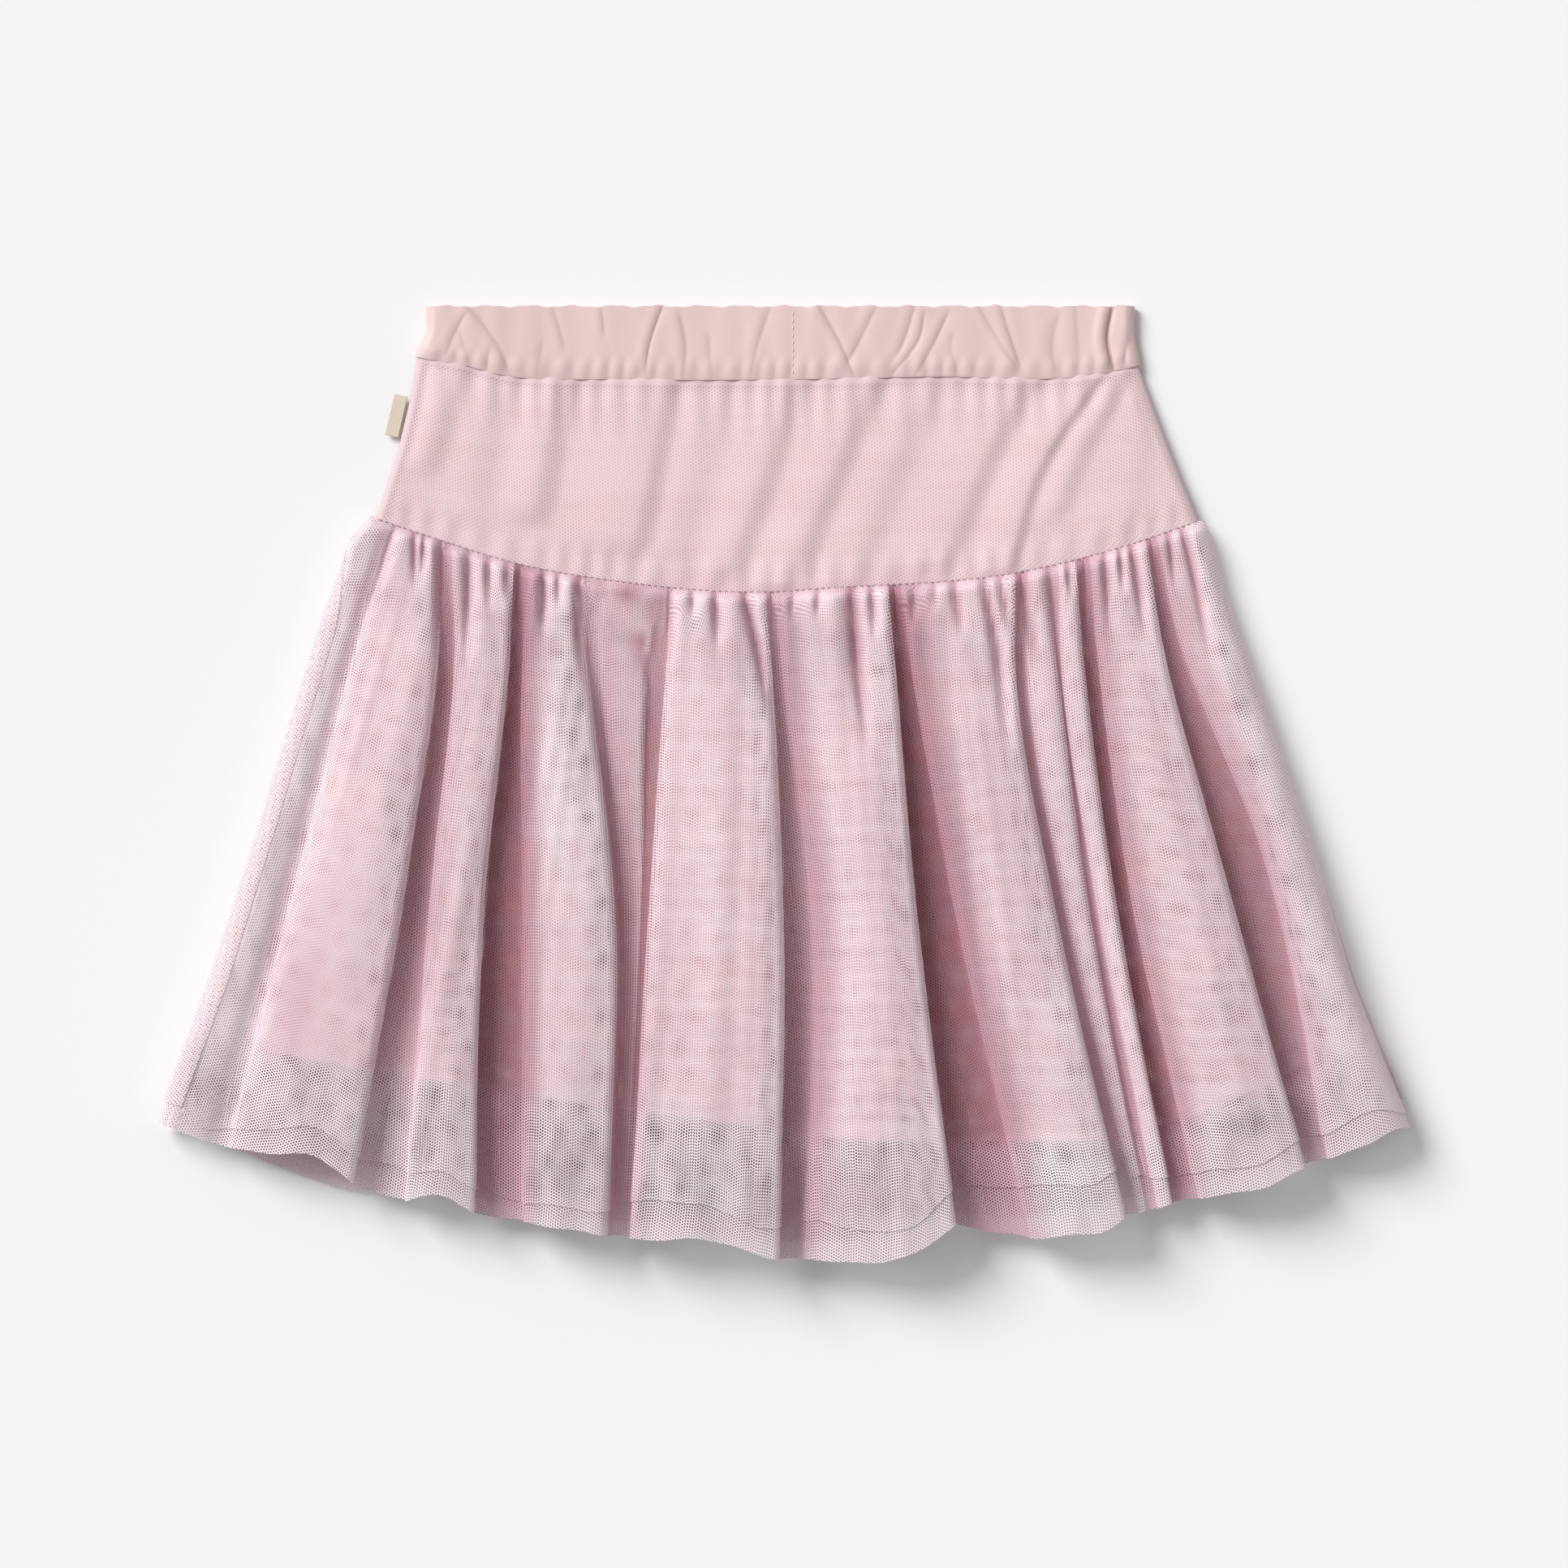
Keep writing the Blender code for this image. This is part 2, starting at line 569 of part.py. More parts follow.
def label():
    """The folded side label, standing out of the left side seam of the yoke."""
    width, length, thick = LABEL_SIZE
    work = bmesh.new()
    bmesh.ops.create_cube(work, size=1.0)
    for vertex in work.verts:
        vertex.co = (vertex.co.x * width, vertex.co.y * length, vertex.co.z * thick)
    edges = [edge for edge in work.edges if all(vertex.co.x < 0 for vertex in edge.verts)]
    bmesh.ops.bevel(
        work,
        geom=edges,
        offset=0.3,
        offset_type="OFFSET",
        affect="EDGES",
        segments=2,
        profile=0.5,
        material=-1,
    )
    tilt = np.radians(-13.0)
    for vertex in work.verts:
        x, y, z = vertex.co
        vertex.co = (
            (-139.2 + x * np.cos(tilt) - y * np.sin(tilt)) * MM,
            (130.9 - CENTRE_Y + x * np.sin(tilt) + y * np.cos(tilt)) * MM,
            (2.4 + z) * MM,
        )
    return object_from("side_label", work, 0.0, material("label_weave", (0.76, 0.70, 0.60), 0.8))


def main():
    for thing in list(bpy.data.objects):
        bpy.data.objects.remove(thing, do_unlink=True)
    group = bpy.data.collections.new("tulle_skirt")
    bpy.context.scene.collection.children.link(group)

    net = (0.74, 0.53, 0.58)
    back = tier_grid(back_section, False)
    front = tier_grid(front_section, False)
    outer_back = moved_out(tier_grid(back_section, True), STEP)
    outer_front = moved_out(tier_grid(front_section, True), -STEP)
    outer_front[..., 2] = np.maximum(outer_front[..., 2], FRONT_OUTER)
    sheet("under_tulle_back", back, NET_WALL, material("under_net_back", net, 0.75))
    sheet("under_tulle_front", front, NET_WALL, material("under_net_front", net, 0.75))
    sheet("outer_tulle_back", outer_back, NET_WALL, material("outer_net_back", net, 0.7))
    sheet("outer_tulle_front", outer_front, NET_WALL, material("outer_net_front", net, 0.7))

    rows = (0.0, 0.16, 0.33, 0.5, 0.68, 0.88, 1.0)
    yoke = (0.74, 0.58, 0.57)
    sheet("yoke_back", yoke_grid(rows, 34, True), NET_WALL, material("yoke_net_back", yoke, 0.75))
    sheet("yoke_front", yoke_grid(rows[::2], 16, False), NET_WALL, material("yoke_net_front", yoke, 0.75))
    pink = (0.80, 0.58, 0.57)
    sheet("lining_back", lining_back_grid(back), LINING_WALL, material("lining_weave_back", pink, 0.8))
    sheet("lining_front", lining_front_grid(16), LINING_WALL, material("lining_weave_front", pink, 0.8))
    sheet("waistband", band_grid(), BAND_WALL, material("band_weave", (0.79, 0.60, 0.56), 0.6), closed=True)
    label()


main()
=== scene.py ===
# Tulle skirt laid flat, back up, on a pale surface. Lengths are millimetres unless a note says metres
from collections import namedtuple

import bmesh
import bpy
import numpy as np
from mathutils import Matrix, Vector


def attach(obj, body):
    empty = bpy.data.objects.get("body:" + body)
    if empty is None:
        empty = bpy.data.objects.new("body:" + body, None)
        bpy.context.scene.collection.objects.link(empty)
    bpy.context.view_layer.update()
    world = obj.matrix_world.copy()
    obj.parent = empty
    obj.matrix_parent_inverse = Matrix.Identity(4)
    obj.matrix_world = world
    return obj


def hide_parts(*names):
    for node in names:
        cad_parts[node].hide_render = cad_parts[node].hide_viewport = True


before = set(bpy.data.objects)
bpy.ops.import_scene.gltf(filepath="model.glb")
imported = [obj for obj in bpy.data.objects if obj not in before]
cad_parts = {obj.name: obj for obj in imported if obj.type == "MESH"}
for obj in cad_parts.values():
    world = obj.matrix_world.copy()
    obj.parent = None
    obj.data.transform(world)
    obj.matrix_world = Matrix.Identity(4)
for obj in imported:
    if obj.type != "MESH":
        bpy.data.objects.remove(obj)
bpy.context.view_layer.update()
print("frame loaded")

mm = 0.001

layers = {  # thickness of the net, gap to the next piece, and how far the upper layers rise on their way down
    "netWall": 1.0,
    "gap": 0.36,
    "puff": 3.2,
    "seamPuff": 0.8,
    "puffRows": (0.0, 0.05, 0.12, 0.25, 0.47, 0.73, 1.0),
    "centreY": -0.6,
}
step = layers["netWall"] + layers["gap"]
frontOuter = layers["netWall"] / 2
frontUnder = frontOuter + step
frontLining = frontUnder + step
backLining = frontLining + step
backUnder = backLining + step

seamLine = (
    (-146, -125.1, -94.7, -56.4, -12.3, 20.4, 81.6, 117, 148.6),
    (94.3, 87.3, 78, 71.4, 67.9, 69.6, 74.6, 82.9, 93.4),
)
bandLine = (
    (-131.5, -114.1, -100.2, -59.6, 4.2, 50.6, 115.9, 127.2),
    (151.7, 148.8, 145.3, 143.8, 143.8, 144.7, 146.2, 148.8),
)


def ease(amount):
    amount = np.clip(amount, 0.0, 1.0)
    return amount * amount * (3.0 - 2.0 * amount)


def through(places, values, at):  # a smooth curve through values at rising places
    places = np.asarray(places, float)
    values = np.asarray(values, float)
    slopes = np.gradient(values, places, axis=0)
    at = np.clip(at, places[0], places[-1])
    i = np.clip(np.searchsorted(places, at, side="right") - 1, 0, len(places) - 2)
    length = places[i + 1] - places[i]
    t = (at - places[i]) / length
    start = values[i] * (1 + 2 * t) * (1 - t) ** 2 + slopes[i] * length * t * (1 - t) ** 2
    end = values[i + 1] * t * t * (3 - 2 * t) + slopes[i + 1] * length * t * t * (t - 1)
    return start + end


def splineWeights(spans):  # weights of a uniform cubic B-spline's knots, with this many steps to each span
    knots = len(spans) + 1
    places = np.concatenate([i + np.arange(n) / n for i, n in enumerate(spans)] + [[knots - 1.0]])
    first = np.minimum(places.astype(int), knots - 2)
    t = places - first
    weights = np.zeros((len(places), knots + 2))
    basis = ((1 - t) ** 3, 3 * t**3 - 6 * t**2 + 4, -3 * t**3 + 3 * t**2 + 3 * t + 1, t**3)
    for k, share in enumerate(basis):
        weights[np.arange(len(places)), first + k] += share / 6
    weights[:, 1] += 2 * weights[:, 0]
    weights[:, 2] -= weights[:, 0]
    weights[:, -2] += 2 * weights[:, -1]
    weights[:, -3] -= weights[:, -1]
    return weights[:, 1:-1]


def spansOf(section, spacing, most):
    lengths = np.linalg.norm(np.diff(section[:, :2], axis=0), axis=1)
    return np.clip(np.ceil(lengths / spacing), 1, most).astype(int)


def movedOut(grid, distance):  # along the normals, further where it bends
    across = np.diff(grid, axis=1)
    across /= np.linalg.norm(across, axis=2, keepdims=True)
    before = np.concatenate([across[:, :1], across], axis=1)
    after = np.concatenate([across, across[:, -1:]], axis=1)
    down = np.gradient(grid, axis=0)
    normal = np.cross(down, before + after)
    normal /= np.linalg.norm(normal, axis=2, keepdims=True)
    bend = np.sqrt((1.0 + np.clip(np.sum(before * after, axis=2), 0.0, 1.0)) / 2.0)
    return grid + normal * (distance / bend)[..., None]


def rowsAt(grid, rows, at):  # the grid read along its columns at other places, given for each column
    i = np.clip(np.searchsorted(rows, at, side="right") - 1, 0, len(rows) - 2)
    t = (at - rows[i]) / (rows[i + 1] - rows[i])
    columns = np.arange(grid.shape[1])[None, :]
    return grid[i, columns] * (1 - t[..., None]) + grid[i + 1, columns] * t[..., None]


def finished(name, work, made):
    mesh = bpy.data.meshes.new(name)
    work.to_mesh(mesh)
    work.free()
    mesh.materials.append(made)
    mesh.shade_smooth()
    piece = bpy.data.objects.new(name, mesh)
    bpy.context.scene.collection.objects.link(piece)
    return piece


def widthsOf(grid):  # from each point of a row to the next
    return np.linalg.norm(np.diff(grid, axis=1), axis=2)


def lengthsOf(grid):  # from each point of a column to the next
    return np.linalg.norm(np.diff(grid, axis=0), axis=2)


def fromSides(grid):  # how far each point lies from the left and from the right end of its row
    return grid[..., 0] - grid[..., :1, 0], grid[..., -1:, 0] - grid[..., 0]


sheets = {
    "weaveStart": (40.0, 5.0),  # where the weave's lengths begin
    "foldAngle": 0.3,  # an edge of a fold that turns more than this stays sharp
    "foldColumns": range(-2, 3),  # beside each edge column
    "joined": 0.01,  # points nearer than this become one
}


def clothSheet(name, grid, made, wall=0.0, anchors=None, values=None, closed=False, edges=()):
    # a sheet from rows of points; values are painted on its points, anchors names for each column of faces
    # the points that its weave hangs straight down from, and edges the columns where it may turn sharply
    if closed:
        grid = np.concatenate([grid, grid[:, :1]], axis=1)
    rows, columns = grid.shape[:2]
    work = bmesh.new()
    paint = {key: work.verts.layers.float.new(key) for key in (values or {})}
    weave = work.loops.layers.uv.new("weave")
    bmesh.ops.create_grid(work, x_segments=columns - 1, y_segments=rows - 1, size=1.0)
    order = sorted(work.verts, key=lambda vertex: (-round(vertex.co.y, 5), round(vertex.co.x, 5)))
    across, down, shifts = flatOf(grid, anchors)
    places = grid.reshape(-1, 3) * mm
    places[:, 1] -= layers["centreY"] * mm
    for index, (vertex, place) in enumerate(zip(order, places.tolist())):
        vertex.co = place
        vertex.index = index
        for key, layer in paint.items():
            vertex[layer] = float(values[key].flat[index])
    for face in work.faces:
        column = min(loop.vert.index % columns for loop in face.loops)
        for loop in face.loops:
            row, place = divmod(loop.vert.index, columns)
            loop[weave].uv = (across[row, place] - shifts[row, column], down[row, place])
    turns = {column + k for column in edges for k in sheets["foldColumns"]}
    for edge in work.edges if turns else ():
        first, second = [vertex.index % columns for vertex in edge.verts]
        if first == second and first in turns and edge.calc_face_angle(0.0) > sheets["foldAngle"]:
            edge.smooth = False
    if closed:
        bmesh.ops.remove_doubles(work, verts=work.verts, dist=sheets["joined"] * mm)
    piece = finished(name, work, made)
    if wall:
        solid = piece.modifiers.new("wall", "SOLIDIFY")
        solid.thickness = wall * mm
        solid.offset = 0.0
        solid.use_quality_normals = True
    return piece


def flatOf(grid, anchors):  # lengths along the cloth in metres, and how far each face's shift in each row
    rows, columns = grid.shape[:2]
    across = np.pad(widthsOf(grid).cumsum(axis=1), ((0, 0), (1, 0)))
    down = np.pad(lengthsOf(grid).cumsum(axis=0), ((1, 0), (0, 0)))
    if anchors is None:
        anchors = np.full(columns - 1, columns // 2)
    shifts = across[:, anchors] - across[rows // 2, anchors]
    startAcross, startDown = sheets["weaveStart"]
    return (across + startAcross) * mm, (down + startDown) * mm, shifts * mm


class Value:  # a socket that can be used in sums
    def __init__(self, tree, socket):
        self.tree = tree
        self.socket = socket

    def maths(self, operation, *others):
        inputs = dict(enumerate((self,) + others))
        return self.tree.add("ShaderNodeMath", {"operation": operation}, inputs)

    def __add__(self, other):
        return self.maths("ADD", other)

    def __sub__(self, other):
        return self.maths("SUBTRACT", other)

    def __mul__(self, other):
        return self.maths("MULTIPLY", other)

    def __truediv__(self, other):
        return self.maths("DIVIDE", other)

    __radd__ = __add__
    __rmul__ = __mul__

    def __rsub__(self, other):
        return self.tree.add("ShaderNodeMath", {"operation": "SUBTRACT"}, {0: other, 1: self})

    def steps(self, low, high):  # 0 below low and 1 above high, smooth between
        inputs = {"Value": self, "From Min": low, "From Max": high}
        return self.tree.add("ShaderNodeMapRange", {"interpolation_type": "SMOOTHSTEP"}, inputs)


class Finish:  # a material and the nodes put in it
    def __init__(self, name, roughness, **constants):
        self.material = bpy.data.materials.new(name)
        self.material.use_nodes = True
        self.nodes = self.material.node_tree.nodes
        self.links = self.material.node_tree.links
        self.shader = self.nodes["Principled BSDF"]
        self.shader.inputs["Roughness"].default_value = roughness
        for key, value in constants.items():
            self.shader.inputs[key.replace("_", " ")].default_value = value

    def add(self, kind, settings=None, inputs=None, output=0):
        node = self.nodes.new(kind)
        for key, value in (settings or {}).items():
            setattr(node, key, value)
        for key, value in (inputs or {}).items():
            self.feed(node.inputs[key], value)
        return Value(self, node.outputs[output])

    def feed(self, socket, value):
        if isinstance(value, Value):
            self.links.new(value.socket, socket)
        elif isinstance(value, tuple) and len(socket.default_value) == 4:
            socket.default_value = (*value, 1.0)
        else:
            socket.default_value = value

    def set(self, **links):
        for key, value in links.items():
            self.feed(self.shader.inputs[key.replace("_", " ")], value)

    def mix(self, share, first, second):
        return self.add("ShaderNodeMix", {"data_type": "RGBA"}, {0: share, 6: first, 7: second}, 2)

    def weave(self):  # the two lengths along the cloth, in metres
        self.flat = self.add("ShaderNodeUVMap", {"uv_map": "weave"})
        return [self.add("ShaderNodeSeparateXYZ", None, {0: self.flat}, k) for k in (0, 1)]

    def painted(self, name):
        return self.add("ShaderNodeAttribute", {"attribute_name": name}, output=2)

    def noise(self, scale, detail=2.0, stretch=(1.0, 1.0, 1.0), vector=None):
        place = self.add("ShaderNodeTexCoord", output=3) if vector is None else vector
        place = self.add("ShaderNodeMapping", None, {"Vector": place, "Scale": Vector(stretch)})
        return self.add("ShaderNodeTexNoise", None, {"Vector": place, "Scale": scale, "Detail": detail})

    def bump(self, height, strength, distance):
        inputs = {"Height": height, "Strength": strength, "Distance": distance}
        self.set(Normal=self.add("ShaderNodeBump", None, inputs))


netFinish = {
    "pitch": 1.05,  # millimetres from hole to hole
    "open": -0.25,  # a higher value makes the holes smaller
    "soft": 0.5,  # how softly a thread ends at a hole
    "closes": (1.6, 0.7),  # how far the holes close where the net stands up, and between the folds
    "loose": 0.5,  # how far they open in patches where no lining lies below
    "lightThrough": 0.55,  # share of the light on a thread that reaches what lies below it
    "shadeUnder": 0.5,  # share of the light on a hole that is lost where no lining lies below
    "deeper": 4.2,  # how far the painted shade deepens the colour between the folds, where the layered net also looks deeper
    "pale": (0.76, 0.63, 0.665),
    "mauve": (0.70, 0.58, 0.655),
    "warm": (0.77, 0.605, 0.625),
    # paler colour where the net stands up and along the folds' rims: partly the closer look of net seen
    # edge-on, partly painted light on flanks turned from the light
    "turned": (0.84, 0.69, 0.74),
    # paler thread colour painted where no lining lies below: painted light
    "bare": (0.95, 0.86, 0.90),
}


def netMaterial(name, turn=0.0, pitch=netFinish["pitch"], closer=0.0, colours=netFinish):
    finish = Finish(name, 0.62, Sheen_Weight=0.2, Sheen_Roughness=0.4)
    across, down = finish.weave()
    turned = across * float(np.cos(turn)) + down * float(np.sin(turn))
    along = down * float(np.cos(turn)) - across * float(np.sin(turn))
    wave = 4 * np.pi / (3 ** 0.5 * pitch * mm)
    thirds = [(turned * float(wave * np.cos(angle)) + along * float(wave * np.sin(angle))).maths("COSINE")
              for angle in np.radians((0.0, 60.0, 120.0))]
    holes = thirds[0] + thirds[1] + thirds[2]  # 3 in the middle of a hole, -1.5 where the threads meet
    # painted shade, painted on the net's points: darkest between the folds, painted lighter below 0
    valley = finish.painted("valley")
    steep = finish.painted("steep")
    bare = finish.painted("bare")
    steepCloses, valleyCloses = netFinish["closes"]
    low = steep * steepCloses + valley * valleyCloses + (netFinish["open"] + closer)
    patches = finish.noise(1.0, 2.0, (80.0, 34.0, 1.0), finish.flat)
    low = low - bare * patches.steps(0.42, 0.7) * netFinish["loose"]
    thread = (0.5 - (holes - low) / (2 * netFinish["soft"])).maths("MAXIMUM", 0.0).maths("MINIMUM", 1.0)
    cloud = finish.noise(30.0, 3.0)
    bands = finish.noise(1.0, 2.0, (26.0, 85.0, 1.0), finish.flat)
    colour = finish.mix(bands.steps(0.35, 0.75) * 0.7, colours["pale"], colours["warm"])
    colour = finish.mix(cloud.steps(0.42, 0.7) * (0.5 - valley * 0.5), colour, colours["mauve"])
    # painted light: paler where no lining lies below
    colour = finish.mix(bare * 0.5, colour, netFinish["bare"])
    # where the net stands up: on the tier's nets a paler colour, painted light on flanks and rims
    colour = finish.mix(steep, colour, colours["turned"])
    deepening = 1.0 + valley * netFinish["deeper"]
    colour = finish.add("ShaderNodeGamma", None, {"Color": colour, "Gamma": deepening})
    shadow = finish.add("ShaderNodeLightPath", output="Is Shadow Ray")
    passed = shadow * finish.painted("backed") * netFinish["lightThrough"]
    stopped = shadow * bare * (1.0 - thread) * netFinish["shadeUnder"]
    finish.set(Base_Color=colour, Alpha=thread * (1.0 - passed) + stopped)
    finish.bump(thread, 0.5, 0.0002)
    return finish.material


# the large folds, from the left: both edges at the seam, high up, half way and at the hem, the height at the
# last three, where the crest lies, how full both flanks are and how far they tuck under, the gathers at the
# seam, the hem's y at the left, the crest and the right, and how much shorter the outer net is
Fold = namedtuple("Fold", "seam high middle hem heights crest full tucks gathers hemLine short")
folds = (
    Fold((-146, -138.8), (-160.8, -153), (-183, -174.5), (-218.9, -206), (1.5, 2.5, 3),
         0.4, (0.9, 0.7), (0, 0), 1, (-124, -126.5, -129.3), 7),
    Fold((-138.8, -120.4), (-148.6, -122.6), (-168.3, -133), (-198, -151.1), (5.5, 9.5, 12.5),
         0.8, (0.45, 0.88), (-1.2, 3.6), 2, (-130.8, -134.5, -143), 8),
    Fold((-120.4, -93.8), (-117, -97.6), (-124.8, -106), (-135.9, -108.3), (6, 10, 12.5),
         0.5, (0.8, 0.8), (1.4, 3.2), 3, (-149.6, -146.4, -154.9), 10),
    Fold((-93.8, -70), (-92.9, -69.6), (-92.9, -60), (-93.8, -61.4), (6, 9.5, 12.5),
         0.42, (0.85, 0.76), (2, -1.2), 2, (-158, -159.5, -161.5), 10),
    Fold((-70, -41.4), (-64.4, -49), (-56.8, -51.2), (-57.8, -57.1), (3.2, 0, 0),
         0.5, (0.4, 0.4), (-1.4, -1.4), 2, (-161.8, -162, -162.2), 11),
    Fold((-41.4, -4), (-42.2, -3.7), (-48, 0.1), (-56.1, 0.1), (6.5, 11, 15),
         0.6, (0.85, 0.92), (3, 4), 4, (-162.4, -163.9, -170), 12),
    Fold((-4, 39.4), (0.7, 40.2), (10.6, 47.2), (6, 63), (6, 10.5, 14),
         0.7, (0.35, 0.86), (-1, 3.8), 5, (-171.4, -170.4, -158.8), 12),
    Fold((39.4, 84.8), (46.5, 82.5), (61, 95.6), (86, 123.1), (6, 10.5, 14),
         0.82, (0.65, 0.92), (1.4, 1.8), 5, (-162.4, -159.8, -155.4), 16),
    Fold((84.8, 94.6), (87, 96.9), (99.2, 107.4), (126.8, 129.2), (4.5, 5, 1),
         0.6, (0.6, 0.75), (-3, -2), 1, (-154.4, -154, -153.4), 12),
    Fold((94.6, 107.2), (99, 106.6), (110.6, 117.1), (132.2, 139.6), (5, 7, 8),
         0.65, (0.7, 0.85), (-1.5, 0), 1, (-152.5, -152, -151.4), 11),
    Fold((107.2, 131), (111.8, 134.2), (122.5, 154.9), (146.3, 187.3), (6, 10, 13),
         0.7, (0.7, 0.88), (1.2, 3.8), 3, (-149.4, -143.3, -138.3), 10.5),
    Fold((131, 148.6), (139.9, 157.5), (170.1, 182.5), (192.7, 219), (4, 7, 9),
         0.5, (0.55, 0.8), (-1, 0), 2, (-135.1, -129.3, -124.6), 8),
)

tier = {
    "levels": (0.0, 0.15, 0.5, 1.0),  # the seam, high up, half way and the hem
    "gatherFade": 0.17,
    "gatherHeight": 1.25,
    "flank": (0.12, 0.24, 0.37),  # the columns of a fold's side at the seam, in gathers
    "cover": 1.0,  # how far a fold's edges are drawn in
    "seamRise": 0.4,  # share of the height high up that is added at the seam
    "streak": 0.28,  # height of the furrows on top
    "hemGap": 0.5,  # between the two nets at the hem
    "undersideFolds": 12,
    "frontShort": 9.0,
    "rows": 96,
    "topRows": (26, 0.16),  # those that lie close together under the seam, and how far down they reach
    "spacing": (1.6, 3.0),  # of the columns, in the back and in the front
    "most": (8, 6),  # steps from one knot to the next
    "leastHeight": 0.3,  # of the front's outer net over the floor
}

sideDown = (0, 0.04, 0.15, 0.3, 0.5, 0.75, 1)
sideLeft = (-146, -154.7, -164.6, -175, -188, -205.8, -226.2)
sideRight = (148.6, 152.8, 160.8, 172.4, 187.2, 203.9, 226)
frontHem = (
    (-226.2, -196, -170, -143.7, -123, -94, -50, 0, 25, 47.7, 80, 120, 146, 200, 226),
    (-124, -133.5, -144.5, -149, -147.5, -156, -160, -166.5,
     -166, -156.5, -158, -151.5, -146.5, -131, -124),
)
liningHem = (
    (-205, -158, -114, -74, -29, 16, 77, 137, 161, 205),
    (-93, -101.8, -108.2, -114.6, -120, -126.4, -128, -124, -115.7, -97),
)

# creases that run down from the yoke seam: x at the seam, a tenth and a quarter of the way down, how far down
# they reach, half width and share of the depth
puckers = (
    (-143, -150, -156, 0.3, 1.6, 0.5), (-138.6, -145, -150, 0.16, 1.3, 0.7),
    (-132, -131, -131, 0.1, 1.2, 0.7), (-128, -129, -130, 0.08, 1, 0.7),
    (-123.1, -123.3, -124, 0.24, 1.5, 1), (-112.5, -112.6, -114, 0.2, 1.3, 0.8),
    (-105.6, -105, -105, 0.1, 1.1, 0.7), (-99, -99, -99, 0.07, 1, 0.7),
    (-94.5, -95, -97, 0.24, 1.5, 1), (-86, -85.6, -84, 0.12, 1.4, 0.9),
    (-80.5, -80, -79, 0.06, 1, 0.7), (-73.8, -73, -69, 0.2, 1.5, 1),
    (-65, -64, -62, 0.06, 1, 0.6), (-57.2, -50.5, -46.5, 0.26, 1.4, 1),
    (-48.5, -47.5, -46, 0.08, 1.2, 0.9), (-40, -40.5, -43, 0.14, 1.2, 0.9),
    (-33, -31.5, -30, 0.05, 1, 0.7), (-24.8, -23.5, -22, 0.1, 1.3, 0.8),
    (-14.5, -9, -3, 0.22, 1.7, 0.95), (-5.2, -4.2, -2, 0.1, 1.2, 0.9),
    (3, 3.5, 4, 0.05, 1, 0.6), (12, 12, 12, 0.05, 1, 0.7),
    (24, 25.6, 30, 0.26, 2.2, 0.95), (31, 32.5, 34, 0.09, 1.2, 0.8),
    (39, 41, 42, 0.16, 1.4, 0.9), (46.3, 46, 45, 0.08, 1.1, 0.7),
    (53, 54, 55, 0.05, 1, 0.6), (60, 64, 68, 0.1, 1.5, 0.8),
    (70.5, 75, 79, 0.3, 1.6, 0.8), (76.5, 80, 83, 0.12, 1.2, 0.8),
    (84.3, 88, 93, 0.22, 1.4, 1), (94, 97, 99.5, 0.16, 1.3, 0.8),
    (101, 103, 104, 0.07, 1, 0.7), (107.2, 107.8, 109.5, 0.2, 1.4, 1),
    (114, 116, 119, 0.14, 1.3, 0.8), (119.5, 121.5, 124, 0.08, 1.1, 0.8),
    (123.5, 127, 131, 0.16, 1.4, 0.9), (130, 134, 139, 0.2, 1.4, 0.9),
    (136.7, 140, 144, 0.12, 1.2, 0.8), (142, 147, 153, 0.24, 1.5, 0.8),
)


def puff(down):
    risen = [ease(row / 0.8) for row in layers["puffRows"]]
    return layers["seamPuff"] + layers["puff"] * np.interp(down, layers["puffRows"], risen)


def foldShape(fold):  # the columns of one fold at the four levels, and their shares of its height and gathers
    pitch = (fold.seam[1] - fold.seam[0]) / fold.gathers
    count = max(2 * fold.gathers - 1, 5 if fold.hem[1] - fold.hem[0] > 12.0 else 3)
    top = np.linspace(0.0, 1.0, count)
    left, right = fold.full
    right += 0.5 * (1.0 - right)
    rising = 1.0 - (1.0 - left) * (1.0 - top / fold.crest) ** 2
    falling = 1.0 - (1.0 - right) * ((top - fold.crest) / (1.0 - fold.crest)) ** 2
    crown = np.where(top < fold.crest, rising, falling)
    wave = np.cos(2 * np.pi * (fold.gathers - 1) * top) if fold.gathers > 1 else np.ones(count)
    half = (0.5 if fold.gathers > 1 else 0.44) * pitch
    first = fold.seam[0] + half
    last = fold.seam[1] - half
    flank = np.array(tier["flank"]) * pitch
    crowned = first + (last - first) * top
    across = [np.concatenate([fold.seam[0] + flank, crowned, fold.seam[1] - flank[::-1]])]
    for height, (start, end) in zip(fold.heights, (fold.high, fold.middle, fold.hem)):
        soft = ease(height / 5.0)
        first = start + tier["cover"] * soft
        last = end - tier["cover"] * soft
        underLeft, underRight = [tuck * min(1.0, height / 12.0) - 1.2 * (1.0 - soft) for tuck in fold.tucks]
        inset = min(1.0, 0.06 * (last - first))
        across.append(np.concatenate([
            (first + underLeft, first + 0.42 * underLeft, first),
            first + inset + (last - first - 2 * inset) * top,
            (last, last - 0.42 * underRight, last - underRight),
        ]))
    ends = np.array((0.0, fold.crest, 1.0))
    places = np.concatenate([(0.0, 0.0, 0.0), top, (1.0, 1.0, 1.0)])
    leftShares = (0.02, 0.54 * left, 0.84 * left)
    rightShares = (0.95 * right, 0.6 * right, 0.02)
    return {
        "fold": fold,
        "across": np.array(across),
        "shares": np.concatenate([leftShares, crown, rightShares]),
        "waves": np.concatenate([(-0.8, -0.2, 0.5), wave, (0.5, -0.2, -0.8)]),
        "hems": np.interp(places, ends, fold.hemLine),
        "gather": min(tier["gatherHeight"], (pitch / 7.6) ** 2),
    }


foldShapes = [foldShape(fold) for fold in folds]


def foldHeight(fold, down):
    rise = tier["seamRise"] * fold.heights[0] * ease(1.0 - down / 0.15)
    return max(0.0, float(through(tier["levels"], (0.0,) + fold.heights, down))) + rise


